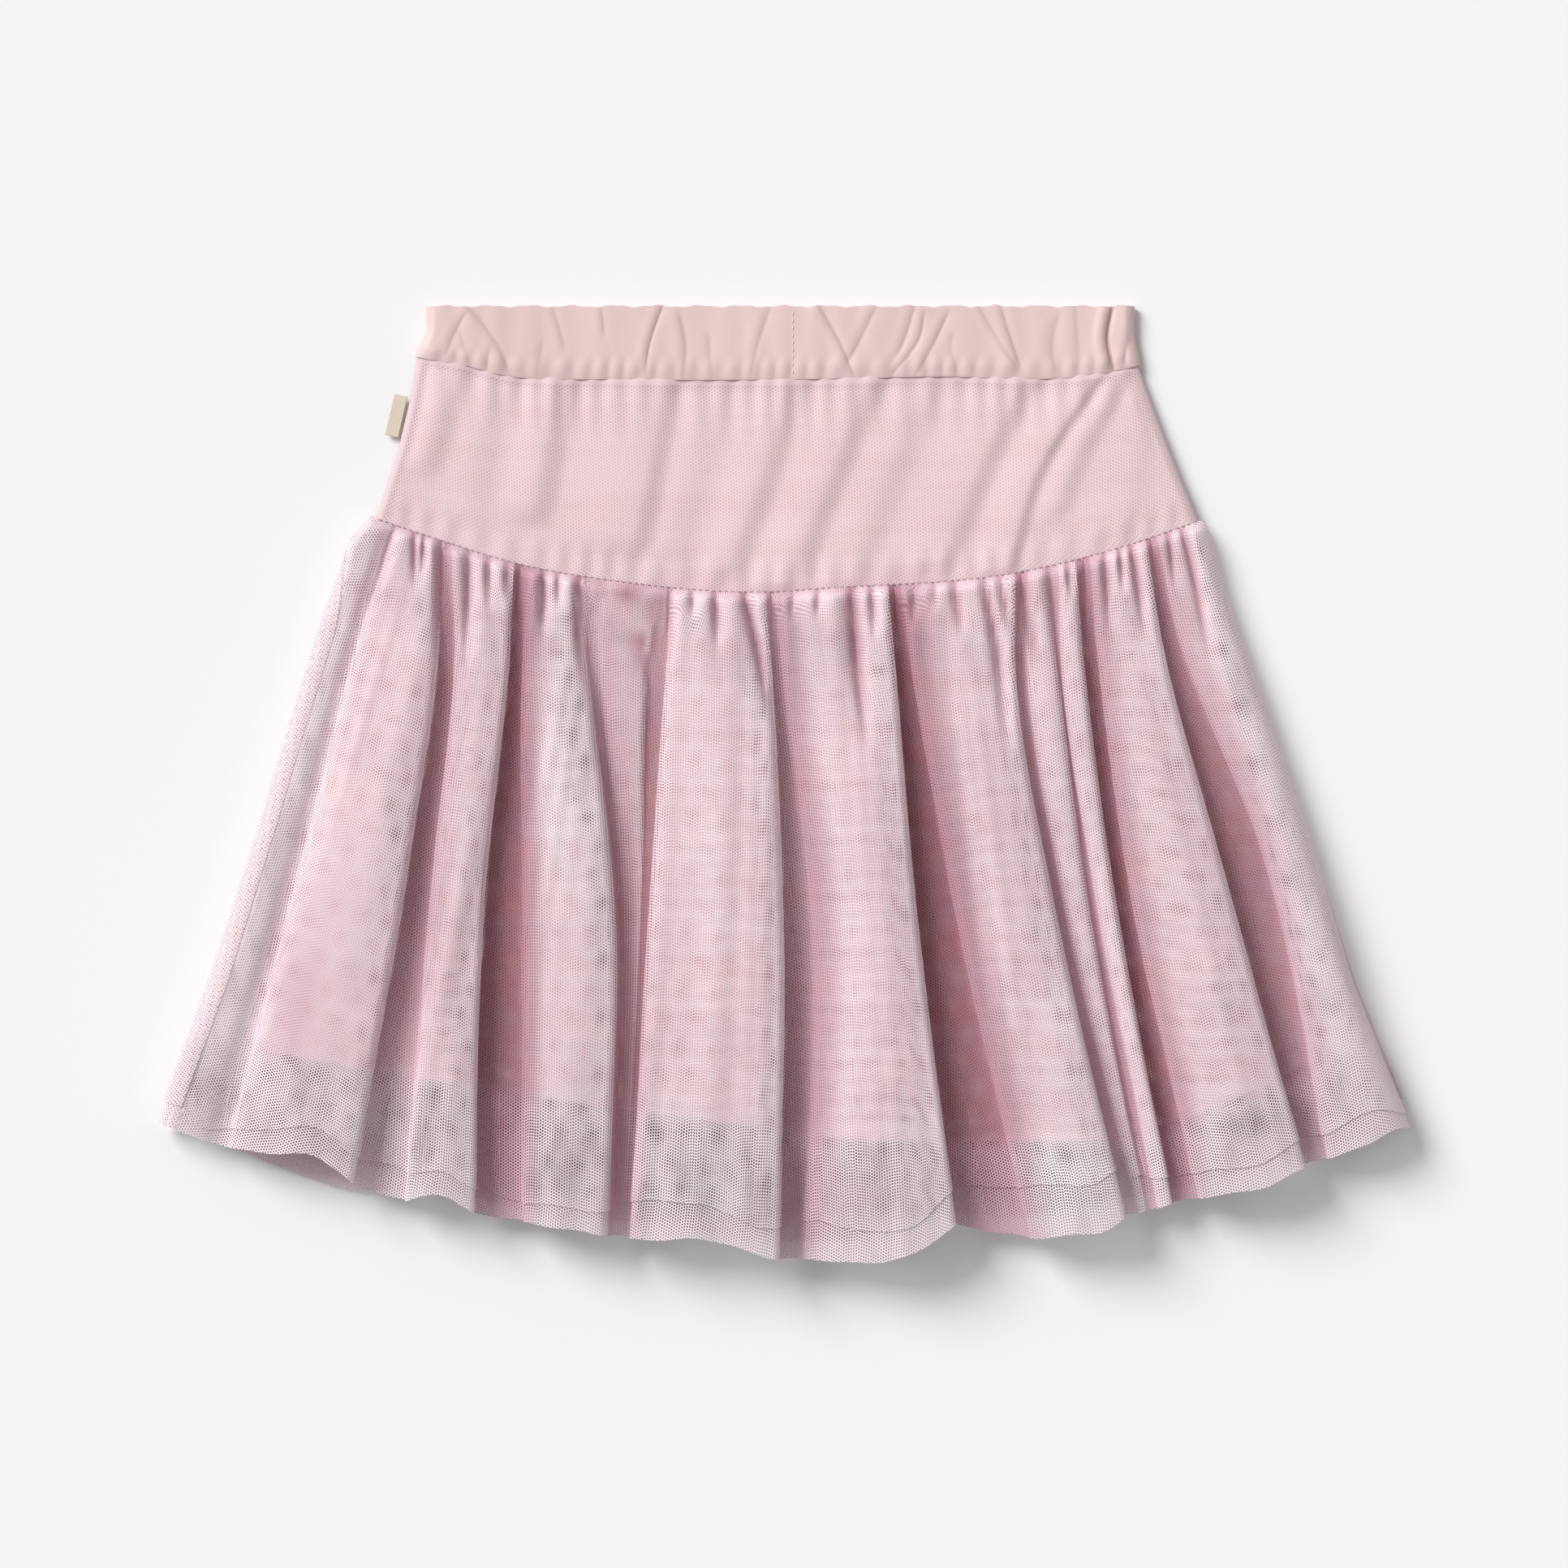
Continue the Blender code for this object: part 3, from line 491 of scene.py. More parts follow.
def foldSection(shape, down):  # rows of x, height above the valley floor, hem y, shortening
    gather = shape["gather"] * max(0.0, 1.0 - down / tier["gatherFade"])
    across = through(tier["levels"], shape["across"], down)
    rise = foldHeight(shape["fold"], down) * shape["shares"] + gather * (shape["waves"] + 1.0)
    short = np.full(len(across), shape["fold"].short)
    return np.stack([across, rise, shape["hems"], short], axis=1)


def sideEdges(down):
    wrap = (step + layers["netWall"] / 2) * ease(down / 0.12)
    return np.interp(down, sideDown, sideLeft) + wrap, np.interp(down, sideDown, sideRight) - wrap


def leftRoll(down, count):  # from the left side seam round to the floor, and the way the seam faces
    left, _ = sideEdges(down)
    top = backUnder + puff(down) + foldHeight(folds[0], down)
    middle = (top + frontUnder) / 2
    radius = (top - frontUnder) / 2
    turn = ease(down / 0.2)
    start = np.pi * (1.0 - turn / 2)
    points = []
    for angle in np.linspace(start, 1.5 * np.pi, count):
        points.append((left + radius + radius * np.cos(angle), middle + radius * np.sin(angle)))
    along = (np.sin(start), -np.cos(start))
    reach = 0.6 + turn * max(0.0, 4.8 - radius)
    points.insert(0, (points[0][0] + reach * along[0], points[0][1] + reach * along[1]))
    return points, along


def backSection(down):
    floor = backUnder + puff(down)
    points, along = leftRoll(down, 2)
    start = (points[0][0] + 0.05 * along[0], points[0][1] + 0.05 * along[1])
    sections = [foldSection(shape, down) for shape in foldShapes]
    first = sections[0][3:-3]
    last = first[-1, 0]
    first[:, 0] = last - (last - first[:, 0]) * (last - start[0] - 1.2) / (last - first[0, 0])
    sections[0] = first
    sections[-1] = sections[-1][:-3]
    knots = [[(start[0], start[1] - floor, float(through(*frontHem, start[0])), folds[0].short)]]
    for section, follows in zip(sections, sections[1:] + [None]):
        knots.append(section)
        if follows is not None:
            middle = (section[-1] + follows[0]) / 2
            knots.append([(middle[0], 0.0, middle[2], middle[3])])
    _, edge = sideEdges(down)
    middle = (frontUnder - floor) / 2
    ends = ((1.3, 0.5 * sections[-1][-1, 1]), (0.1, 0.4 * middle), (0.0, middle + layers["gap"] / 2))
    knots.append([(edge - inset, z, folds[-1].hemLine[2], folds[-1].short) for inset, z in ends])
    rows = np.concatenate(knots)
    rows[:, 1] += floor
    return rows


def frontSection(down):
    points, _ = leftRoll(down, 7)
    _, edge = sideEdges(down)
    first = points[-1][0] + 1.5
    last = edge - 4.0
    pitch = (last - first) / tier["undersideFolds"]
    for i in range(tier["undersideFolds"]):
        lean = 0.07 * np.sin(2.4 * i + 1.0)
        height = (0.72 + 0.2 * np.sin(1.7 * i)) * puff(down)
        for place, share in ((0.1, 0.0), (0.5, 0.0), (0.72 + lean, 1.0)):
            points.append((first + (i + place) * pitch, frontUnder + height * share))
    middle = (backUnder + puff(down) + frontUnder) / 2
    points += [(last, frontUnder), (edge - 1.6, frontUnder + 0.25)]
    points += [(edge - 0.1, (frontUnder + middle) / 2), (edge, middle - layers["gap"] / 2)]
    return np.array([(x, z, float(through(*frontHem, x)), tier["frontShort"]) for x, z in points])


topRows, topReach = tier["topRows"]
downRows = np.concatenate([np.linspace(0.0, topReach, topRows)[:-1],
                           np.linspace(topReach, 1.0, tier["rows"] - topRows + 1)])


def knotGrid(sectionAt):
    sections = [sectionAt(down) for down in downRows]
    tops = through(*seamLine, sections[0][:, 0]) - layers["gap"] / 2
    hems = sections[-1][:, 2]
    grid = [np.stack([rows[:, 0], tops + (hems - tops) * down, rows[:, 1]], axis=1)
            for down, rows in zip(downRows, sections)]
    return np.array(grid), sections[-1]


def shortened(grid, rows, cut):  # the hem drawn up along the columns
    keep = 1.0 - cut / lengthsOf(grid).sum(axis=0)
    return rowsAt(grid, rows, rows[:, None] * keep[None, :])


def pinched(grid, seamHeight):  # drawn down to the yoke's edge at the seam
    held = ease(0.05 + downRows / 0.016)[:, None]
    grid = grid.copy()
    grid[..., 2] = seamHeight + (grid[..., 2] - seamHeight) * held
    return grid


def creaseLift(across, heights):  # how far the puckers press each point down, and the painted shade in their bottoms
    raised = heights + 1.1 * (1.0 - ease(downRows / tier["gatherFade"]))[:, None]
    kept = np.ones_like(heights)
    dark = np.zeros_like(heights)
    for first, second, third, reach, width, share in puckers:
        centre = through((0.0, 0.1, 0.25), (first, second, third), np.minimum(downRows, 0.25))[:, None]
        away = (across - centre) / width
        groove = np.where(away < 0.0, np.exp(-np.abs(away) ** 1.2 * 1.4), np.exp(-np.abs(away * 0.6) ** 1.5))
        shown = share * (1.0 - ease((downRows / reach - 0.3) / 0.7))[:, None]
        kept *= 1.0 - shown * groove
        dark = np.maximum(dark, shown * np.exp(-(away ** 2)))
    return raised * kept - heights, dark


# the shade between each fold and the next: how dark at the seam, high up, half way and at the hem, the share
# of it that goes on over the next fold's left side, and how far
valleyShades = (
    ((0.05, 0.05, 0.05, 0), 0.3, 6), ((0.4, 0.6, 0.62, 0.05), 0.25, 10),
    ((0.6, 1, 1, 0.75), 0.55, 9), ((0.25, 0.3, 0.7, 0.5), 0.6, 12),
    ((0.2, 0.45, 0.65, 0.5), 0, 4), ((0.3, 0.5, 0.46, 0.5), 0.7, 13),
    ((0.8, 1.15, 1.15, 0.8), 0.45, 14), ((0.5, 0.5, 0.5, 0.35), 0.2, 4),
    ((0.3, 0.45, 0.5, 0.45), 0.1, 4), ((0.6, 0.9, 1, 0.85), 0.35, 10),
    ((0.5, 0.72, 0.78, 0.55), 0.25, 10),
)


def valleyShade(grid):  # the painted shade on each point between the folds, and a painted pale rim that fades with distance from each fold's edge
    dark = np.zeros(grid.shape[:2])
    rim = np.zeros(grid.shape[:2])
    columns = np.arange(grid.shape[1])[None, :]
    across = grid[..., 0]
    for left, right, (strengths, tail, reach) in zip(leftEdges, rightEdges, valleyShades):
        strength = np.interp(downRows, tier["levels"], strengths)[:, None]
        past = across - across[:, right:right + 1]
        over = across - across[:, left:left + 1]
        gap = np.maximum(across[:, left:left + 1] - across[:, right:right + 1], 0.5)
        between = (columns > right) & (columns < left) & (past > 0.0)
        gapShade = strength * (1.0 - 0.3 * np.clip(past / gap, 0.0, 1.0))
        tailShade = strength * tail * (1.0 - ease(over / reach))
        shown = np.minimum(1.0, 1.5 * strength)
        rightRim = shown * (1.0 - ease(-past / 5.0))
        leftRim = shown * (1.0 - tail) * (1.0 - ease(over / 3.0))
        for shade, where, value in ((dark, between, gapShade), (dark, columns >= left, tailShade),
                                    (rim, columns <= right, rightRim), (rim, columns >= left, leftRim)):
            np.maximum(shade, np.where(where, value, 0.0), out=shade)
    return dark, rim


def valleys(grid):  # how deep a point lies beside the folds around it, most on the right of a tall one, as a painted shade
    across, heights = grid[..., 0], grid[..., 2]
    columns = heights.shape[1]
    deep = np.zeros_like(heights)
    for away in range(1, 30):
        for way, slope in ((away, 0.62), (-away, 1.3)):
            other = np.clip(np.arange(columns) - way, 0, columns - 1)
            distance = np.abs(across - across[:, other])
            over = heights[:, other] - heights - slope * distance
            deep = np.maximum(deep, over)
    return ease((deep - 0.3) / 6.0)


softShades = (  # x, y, half width, half height, and how much painted shade, or painted light below 0
    (-174, -80, 12, 30, 0.13), (-123, -54, 9, 35, 0.1), (22, -146, 18, 14, 0.22),
    (-80, -10, 9, 35, -0.12), (-26, -24, 18, 45, -0.04), (-172.7, 10.5, 8, 25, -0.04),
    (98.5, -142, 14, 14, -0.15), (97, -90, 9, 28, -0.09), (-29, -145, 14, 12, -0.08),
    (-142, -130, 7, 10, -0.12),
)


def rippleAt(x, y):  # the lining's cross wrinkles, from -1 to 1
    return np.sin(2 * np.pi * (y + 3.0 * np.sin(x / 23.0) + 1.6 * np.sin(x / 7.1)) / 6.6)


def softTintsAndShade(x, y):  # broad soft tints that run down the folds and across them, partly painted shade, with painted shade along the lining's cross wrinkles
    fan = x / (1.0 + 0.5 * downRows[:, None])
    down = np.sin(fan / 4.3 + 1.6 * np.sin(y / 37.0) + 2.0 * np.sin(fan / 19.0))
    over = np.sin(2 * np.pi * (y + 4.0 * np.sin(x / 15.0)) / 27.0 + 2.0 * np.sin(x / 21.0))
    near = ease((x + 60.0) / 30.0) * ease(downRows / 0.25 - 0.4)[:, None]
    return 0.025 + 0.025 * down + 0.012 * over + 0.022 * rippleAt(x, y) * near


# painted shade and painted light in soft spots
def placedShades(x, y):
    tintAndShade = np.zeros_like(x)
    for placeX, placeY, wide, high, strength in softShades:
        tintAndShade += strength * np.exp(-((x - placeX) / wide) ** 2 - ((y - placeY) / high) ** 2)
    return tintAndShade


def streaks(across, heights):  # soft furrows that run down the tops of the folds
    fan = across / (1.0 + 0.5 * downRows[:, None])
    wave = np.sin(fan / 1.9 + 1.4 * np.sin(fan / 7.0))
    wave += 0.6 * np.sin(fan / 1.1 + 2.0 * np.sin(fan / 5.0 + 1.0))
    wander = np.sin(fan / 11.0 + 5.0 * downRows[:, None])
    return tier["streak"] * wave * (0.65 + 0.35 * wander) * ease((heights - 2.0) / 6.0)


def steepness(grid):  # 0 where the cloth lies flat, 1 where it stands
    normal = np.cross(np.gradient(grid, axis=1), np.gradient(grid, axis=0))
    normal /= np.linalg.norm(normal, axis=2, keepdims=True)
    return 1.0 - np.abs(normal[..., 2])


def crestColumns(spans):  # each face column's fold and that fold's middle column, and the folds' edge columns
    sizes = [len(shape["waves"]) for shape in foldShapes]
    sizes[0] -= 6
    sizes[-1] -= 3
    ends = np.cumsum([size + 1 for size in sizes])
    starts = np.concatenate([[1], ends[:-1] + 1])
    columns = np.concatenate([[0], np.cumsum(spans)])
    crests = columns[[start + size // 2 for start, size in zip(starts, sizes)]]
    rights = columns[[ends[0] - 1] + [end - 3 for end in ends[1:-1]]]
    lefts = columns[starts[1:] + 2]
    knotOf = np.repeat(np.arange(len(spans)), spans)
    foldOf = np.clip(np.searchsorted(ends, knotOf, side="right"), 0, len(sizes) - 1)
    return crests[foldOf], lefts, rights, foldOf


def backLayers():  # the two nets of the visible side, under and outer, and what their weave hangs from
    knots, hemSection = knotGrid(backSection)
    spans = spansOf(hemSection, tier["spacing"][0], tier["most"][0])
    weights = splineWeights(spans)
    under = np.einsum("ck,rkd->rcd", weights, knots)
    near = step - (step - tier["hemGap"]) * ease((downRows - 0.55) / 0.3)[:, None]
    outer = np.einsum("ck,rkd->rcd", weights, movedOut(knots, near))
    floor = backUnder + np.array([puff(down) for down in downRows])[:, None]
    lift, dark = creaseLift(under[..., 0], np.maximum(under[..., 2] - floor, 0.0))
    columns = np.arange(under.shape[1])
    side = ease((columns - 6.0) / 8.0) * ease((under.shape[1] - 7.0 - columns) / 8.0)
    lift = (lift + streaks(under[..., 0], under[..., 2] - floor)) * side
    under[..., 2] += lift
    outer[..., 2] += lift
    seamHeight = backUnder + layers["seamPuff"]
    under = pinched(under, seamHeight - 0.35)
    outer = pinched(outer, seamHeight)
    x = under[-1, :, 0]
    underCut = 1.0 + 0.7 * np.sin(x / 9.0 + 2.0 * np.sin(x / 31.0)) + 0.3 * np.sin(x / 3.1)
    under = shortened(under, downRows, underCut)
    outerCut = 1.0 + 2.2 * np.sin(x / 13.0 + 2.0 * np.sin(x / 37.0)) + 0.7 * np.sin(x / 4.7)
    outer = shortened(outer, downRows, weights @ hemSection[:, 3] + outerCut)
    return under, outer, crestColumns(spans), dark * side


def frontLayers():
    knots, hemSection = knotGrid(frontSection)
    knots = knots[::2]
    weights = splineWeights(spansOf(hemSection, tier["spacing"][1], tier["most"][1]))
    under = np.einsum("ck,rkd->rcd", weights, knots)
    outer = np.einsum("ck,rkd->rcd", weights, movedOut(knots, -step))
    outer[..., 2] = np.maximum(outer[..., 2], tier["leastHeight"])
    return under, shortened(outer, downRows[::2], tier["frontShort"])


def register(piece, node):
    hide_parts(node)
    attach(piece, "root")


underBack, outerBack, (crests, leftEdges, rightEdges, foldOf), creaseShade = backLayers()
underFront, outerFront = frontLayers()
print("tier points", outerBack.shape, outerFront.shape)


def netPaint(grid, upper, hemStrip):  # what is painted on a net's points
    x, y = grid[..., 0], grid[..., 1]
    fromLeft, fromRight = fromSides(grid)
    pastLining = ease((through(*liningHem, x) + 4.0 - y) / 8.0)
    values = {"steep": steepness(grid), "backed": 1.0 - pastLining}
    if not upper:
        # painted shade on the front nets past the lining's hem, where they lie in the shade of the folds
        # above
        values["valley"] = 0.2 * pastLining * ease((fromLeft - 12.0) / 12.0) * ease((fromRight - 8.0) / 10.0)
        return values
    shade, rim = valleyShade(grid)
    # painted light: a paler rim along each fold's edge
    steep = np.maximum(values["steep"], 0.4 * rim)
    # painted shade where a point lies deep beside taller folds, kept off the rims
    shade = np.maximum(shade, 0.15 * valleys(grid) * (1.0 - rim))
    # painted shade just under the seam, where the gathers start
    shade = np.maximum(shade, 0.12 * ease(1.0 - downRows / 0.012)[:, None])
    # on the under net's strip past the outer net's hem: a little painted shade, with the closer, paler look
    # of standing net
    if hemStrip:
        strip = ease((downRows - 0.955) / 0.02)[:, None]
        shade = np.maximum(shade, 0.06 * strip)
        steep = np.maximum(steep, 0.2 * strip)
    # painted shade and light: broad tints, the lining's wrinkles and the placed soft spots, fading where the
    # shade between the folds lies
    tintAndShade = (softTintsAndShade(x, y) * (1.0 - pastLining) + placedShades(x, y)) * (1.0 - shade)
    # painted shade in the puckers' bottoms
    values["valley"] = np.maximum(shade, 0.45 * creaseShade) + tintAndShade
    # painted light: the net is painted paler near its sides and past the lining's hem, where no lining lies
    # below
    edge = 1.0 - ease((np.minimum(fromLeft, fromRight) - 3.0) / 6.0 - 2.0 * downRows[:, None])
    values["bare"] = np.maximum(pastLining, edge)
    values["steep"] = steep
    return values


for name, grid, node, turn in (
    ("underTulleBack", underBack, "under_tulle_back", 0.09),
    ("outerTulleBack", outerBack, "outer_tulle_back", 0.0),
    ("underTulleFront", underFront, "under_tulle_front", -0.2),
    ("outerTulleFront", outerFront, "outer_tulle_front", 0.15),
):
    upper = node.endswith("back")
    net = clothSheet(name, grid, netMaterial(name + "Net", turn), anchors=crests if upper else None,
                     values=netPaint(grid, upper, name == "underTulleBack"),
                     edges=[*leftEdges, *rightEdges] if upper else ())
    register(net, node)
print("tier made")


yoke = {
    "rows": 64,
    "columns": 300,
    "frontColumns": 100,
    "sideShares": (0.0, 0.3, 0.55, 1.0),
    "left": (-131.2, -134.2, -137.6, -146.0),
    "rightShares": (0.0, 0.35, 0.7, 1.0),
    "right": (126.8, 134.0, 141.6, 148.6),
    "turn": (0.5, 0.75, 1.7),  # how far in from the side its turned columns lie
    "flat": 3.2,  # how far in the panel begins
    "pitch": 1.16,
    "closed": 2.5,  # how far the net closes at its sides and under the waistband
    "colours": {
        "pale": (0.715, 0.61, 0.635),
        "mauve": (0.68, 0.565, 0.61),
        "warm": (0.70, 0.585, 0.595),
        "turned": (0.61, 0.46, 0.49),
    },
}

# drag folds, from the left: x where each drops away at the waistband, half way and at the seam, its height,
# half the drop's width, and the part of the way down that it takes up
dragFolds = (
    (-127.2, -135, -140.8, 0.5, 5, (0, 0.9)), (-113.2, -122, -130.6, 1.2, 4.5, (0, 0.6)),
    (-96.4, -103.7, -108.9, 0.7, 6.5, (0, 0.8)), (-77, -82.5, -88.6, 1.7, 5, (0, 0.7)),
    (-39.9, -45.4, -52.9, 1.7, 4.6, (0, 0.8)), (-19, -28, -38, 0.6, 7, (0.1, 1)),
    (5.7, -5, -19.5, 1.4, 5, (0, 0.9)), (34.7, 19.6, 4, 1.5, 5, (0, 1)),
    (56.4, 40.8, 27, 0.8, 6, (0.1, 1)), (89.8, 72.4, 58, 1.5, 5, (0, 0.9)),
    (115, 92.7, 81.6, 1.5, 2.8, (0, 1)), (126, 106.3, 96.1, 1, 4.2, (0, 0.7)),
    (136, 130, 124, 0.6, 5, (0.1, 0.9)),
)


def yokeEdges(t):
    return (float(np.interp(t, yoke["sideShares"], yoke["left"])),
            float(np.interp(t, yoke["rightShares"], yoke["right"])))


def yokeLift(t):
    return (step + layers["seamPuff"]) * min(1.0, t / 0.9)


def yokeY(t, xTop, xBottom):
    top = through(*bandLine, xTop) + 0.9
    bottom = through(*seamLine, xBottom) + 0.1
    return top + (bottom - top) * t


def dragRelief(t, x):  # long slopes that rise to the right and drop away at each line
    rise = np.zeros_like(x)
    before = -140.0 - 8.0 * t
    for top, middle, low, height, width, (begins, ends) in dragFolds:
        line = through((0.0, 0.5, 1.0), (top, middle, low), t)
        shown = ease((t - begins + 0.12) / 0.15) * ease((ends + 0.12 - t) / 0.15)
        climb = ease((x - before) / max(line - width - before, 3.0))
        rise += height * shown * climb * (1.0 - ease((x - line + width) / (2 * width)))
        before = line
    gathers = 0.3 * (1.0 - ease(t / 0.4)) * np.cos(2 * np.pi * (x + 2.5 * np.sin(x / 13.0)) / 8.3)
    gathers += 0.3 * ease((t - 0.8) / 0.15) * np.cos(2 * np.pi * (x + 2.0 * np.sin(x / 11.0)) / 9.1)
    held = ease((t + 0.03) / 0.08) * ease((1.02 - t) / 0.06)
    return (rise + gathers) * held


def yokeGrid(rows, columns, back):
    grid = []
    firstLeft, firstRight = yokeEdges(0.0)
    lastLeft, lastRight = yokeEdges(1.0)
    turned = np.array(yoke["turn"])
    for t in rows:
        left, right = yokeEdges(t)
        top = backLining + yokeLift(t)
        middle = (top + frontOuter) / 2
        seat = top if back else frontOuter
        end = middle + layers["gap"] / 2 if back else middle - layers["gap"] / 2
        inner = np.linspace(left + yoke["flat"], right - yoke["flat"], columns)
        held = ease((inner - inner[0]) / 4.0) * ease((inner[-1] - inner) / 4.0)
        heights = seat + (dragRelief(t, inner) * held if back else 0.0 * inner)
        x = np.concatenate([left + turned, inner, right - turned[::-1]])
        turnedUp = (end, (end + seat) / 2, seat + 0.3 * np.sign(end - seat))
        z = np.concatenate([turnedUp, heights, turnedUp[::-1]])
        share = (x - left) / (right - left)
        y = yokeY(t, firstLeft + share * (firstRight - firstLeft), lastLeft + share * (lastRight - lastLeft))
        grid.append(np.stack([x, y, z], axis=1))
    return np.array(grid)


lining = {
    "wall": 0.5,
    "columns": (320, 90),  # of the back and of the front
    "rows": ((34, 110), (13, 44)),  # behind the yoke and behind the tier
    "hemWidth": 8.0,
    "folds": (1, 2, 3, 5, 6, 7, 10),  # those of the tier that it rises into
    "wrinkle": 0.22,  # height
    "tableReach": 240.0,
    "tableStep": 0.5,
    "pale": (0.80, 0.58, 0.60),
    "warm": (0.76, 0.51, 0.53),
    # darker pink painted along the lining's cross wrinkles: painted shade
    "rippleShade": (0.60, 0.33, 0.36),
    # painted shade seen through the net where a fold stands away from the lining, most where the lining falls
    # away to its right
    "hollowShade": (0.15, 0.08, 0.095),
    "hem": (0.93, 0.80, 0.80),
    "thread": 0.00045,  # metres from thread to thread
}


def liningMaterial(name):
    finish = Finish(name, 0.7, Sheen_Weight=0.15, Sheen_Roughness=0.5)
    across, down = finish.weave()
    wrinkle = finish.noise(1.0, 3.0, (14.0, 95.0, 1.0), finish.flat)
    wave = 2 * np.pi / lining["thread"]
    threads = (across * wave).maths("SINE") * (down * wave).maths("SINE")
    colour = finish.mix(wrinkle.steps(0.35, 0.7), lining["pale"], lining["warm"])
    for mark, share in (("rippleShade", 0.55), ("hollowShade", 0.85), ("hem", 0.55)):
        colour = finish.mix(finish.painted(mark) * share, colour, lining[mark])
    finish.set(Base_Color=colour)
    finish.bump(wrinkle * 0.8 + threads * 0.04, 0.6, 0.0012)
    return finish.material


def tubeRise(under, lined):  # how high the net's lined folds stand over each place, drawn in from their sides
    reach, gap = lining["tableReach"], lining["tableStep"]
    places = np.arange(-reach, reach + 0.01, gap)
    shares = np.linspace(0.0, 1.0, 7)[:-1, None]
    table = np.zeros((len(downRows), len(places)))
    for row, down in enumerate(downRows):
        x, z = under[row, :, 0], under[row, :, 2] - backUnder - puff(down)
        dense = (x[:-1] + shares * np.diff(x)).ravel()
        heights = ((z[:-1] + shares * np.diff(z)) * lined).ravel()
        slot = np.clip(np.round((dense + reach) / gap).astype(int), 0, len(places) - 1)
        np.maximum.at(table[row], slot, heights)
    for wide, choose in ((7, np.min), (7, np.mean)):
        padded = np.pad(table, ((0, 0), (wide, wide)), mode="edge")
        table = choose([padded[:, i:i + len(places)] for i in range(2 * wide + 1)], axis=0)
    return table


def riseAt(table, x, down):  # read between the rows of the table and its places
    row = np.clip(np.interp(down, downRows, np.arange(len(downRows))), 0, len(downRows) - 1.001)
    place = np.clip((x + lining["tableReach"]) / lining["tableStep"], 0, table.shape[1] - 1.001)
    i, j = row.astype(int), place.astype(int)
    t, s = row - i, place - j
    near = table[i, j] * (1 - s) + table[i, j + 1] * s
    far = table[i + 1, j] * (1 - s) + table[i + 1, j + 1] * s
    return near * (1 - t) + far * t


def liningGrid(back):  # the middle of a panel, and what is painted on it
    side = 0 if back else 1
    grid = []
    paint = {"hem": [], "hollowShade": [], "rippleShade": []}
    seat = (backLining if back else frontLining) - step
    shares = np.linspace(0.0, 1.0, lining["columns"][side])
    xTop = -129.0 + shares * 253.6
    xSeam = -143.8 + shares * 290.2
    hem = through(*liningHem, -200.0 + shares * 400.0)
    yokeCount, tierCount = lining["rows"][side]
    for t in np.concatenate([np.linspace(0.0, 0.92, yokeCount), [1.0]]):
        left, right = yokeEdges(t)
        x = left + 2.2 + shares * (right - left - 4.4)
        y = np.minimum(yokeY(t, xTop, xSeam), through(*bandLine, xTop) - 0.8)
        relief = dragRelief(t, x) * ease(shares / 0.02) * ease((1.0 - shares) / 0.02) if back else 0.0
        grid.append(np.stack([x, y, seat + yokeLift(t) + relief + 0.0 * x], axis=1))
        for marks in paint.values():
            marks.append(0.0 * x)
    for down in np.linspace(0.05, 0.8, tierCount):
        left, right = sideEdges(down)
        inset = 3.5 + 15.0 * down
        x = left + inset + shares * (right - left - 2 * inset)
        top = through(*seamLine, xSeam)
        y = top + (hem - top) * down / 0.8
        wave = rippleAt(x, y) * (0.5 + 0.5 * np.sin(x / 19.0 + 1.3 * np.sin(y / 17.0)))
        relief = 0.0 * x
        falling = 0.0
        if back:
            netHem = np.interp(x, underBack[-1, :, 0], underBack[-1, :, 1])
            share = (top - y) / (top - netHem)
            rise = riseAt(liningRise, x, share)
            relief = lining["wrinkle"] * wave * ease((down - 0.05) / 0.1)
            relief += np.maximum(0.93 * rise - 0.5, 0.0)
            falling = ease((rise - riseAt(liningRise, x + 6.0, share)) / 3.0)
        grid.append(np.stack([x, y, seat + step + puff(down) + relief], axis=1))
        patch = np.sin(x / 6.1 + 1.7 * np.sin(y / 21.0)) + np.sin(x / 10.3 + y / 37.0 + 2.0)
        paint["hem"].append(1.0 - ease(y - hem - lining["hemWidth"] + 0.5))
        # painted shade in patches along the wrinkles, most under the folds' right flanks
        paint["hollowShade"].append(ease((0.6 * wave + 0.45 * patch - 0.3) / 0.6) * (0.25 + 0.75 * falling))
        # painted shade along the wrinkles
        paint["rippleShade"].append(ease(0.5 + 0.5 * wave + 0.2 * patch))
    return np.array(grid), {key: np.array(marks) for key, marks in paint.items()}


band = {
    "wall": 2.3,
    "columns": (460, 80),  # of the upper and of the lower side
    "rows": 26,
    "top": 169.9,
    "left": -131.5,
    "right": 127.2,
    "narrows": (3.8, 1.8),  # at the left and at the right, on its way up
    "floor": 1.2,
    "thick": 2.4,
    "pale": (0.69, 0.515, 0.50),
    "deep": (0.655, 0.48, 0.465),
    # darker colour painted in the casing's creases: painted shade
    "crease": (0.36, 0.20, 0.18),
    "twill": 0.0005,  # metres from rib to rib
}
bandSeat = band["floor"] + band["thick"] + layers["gap"]

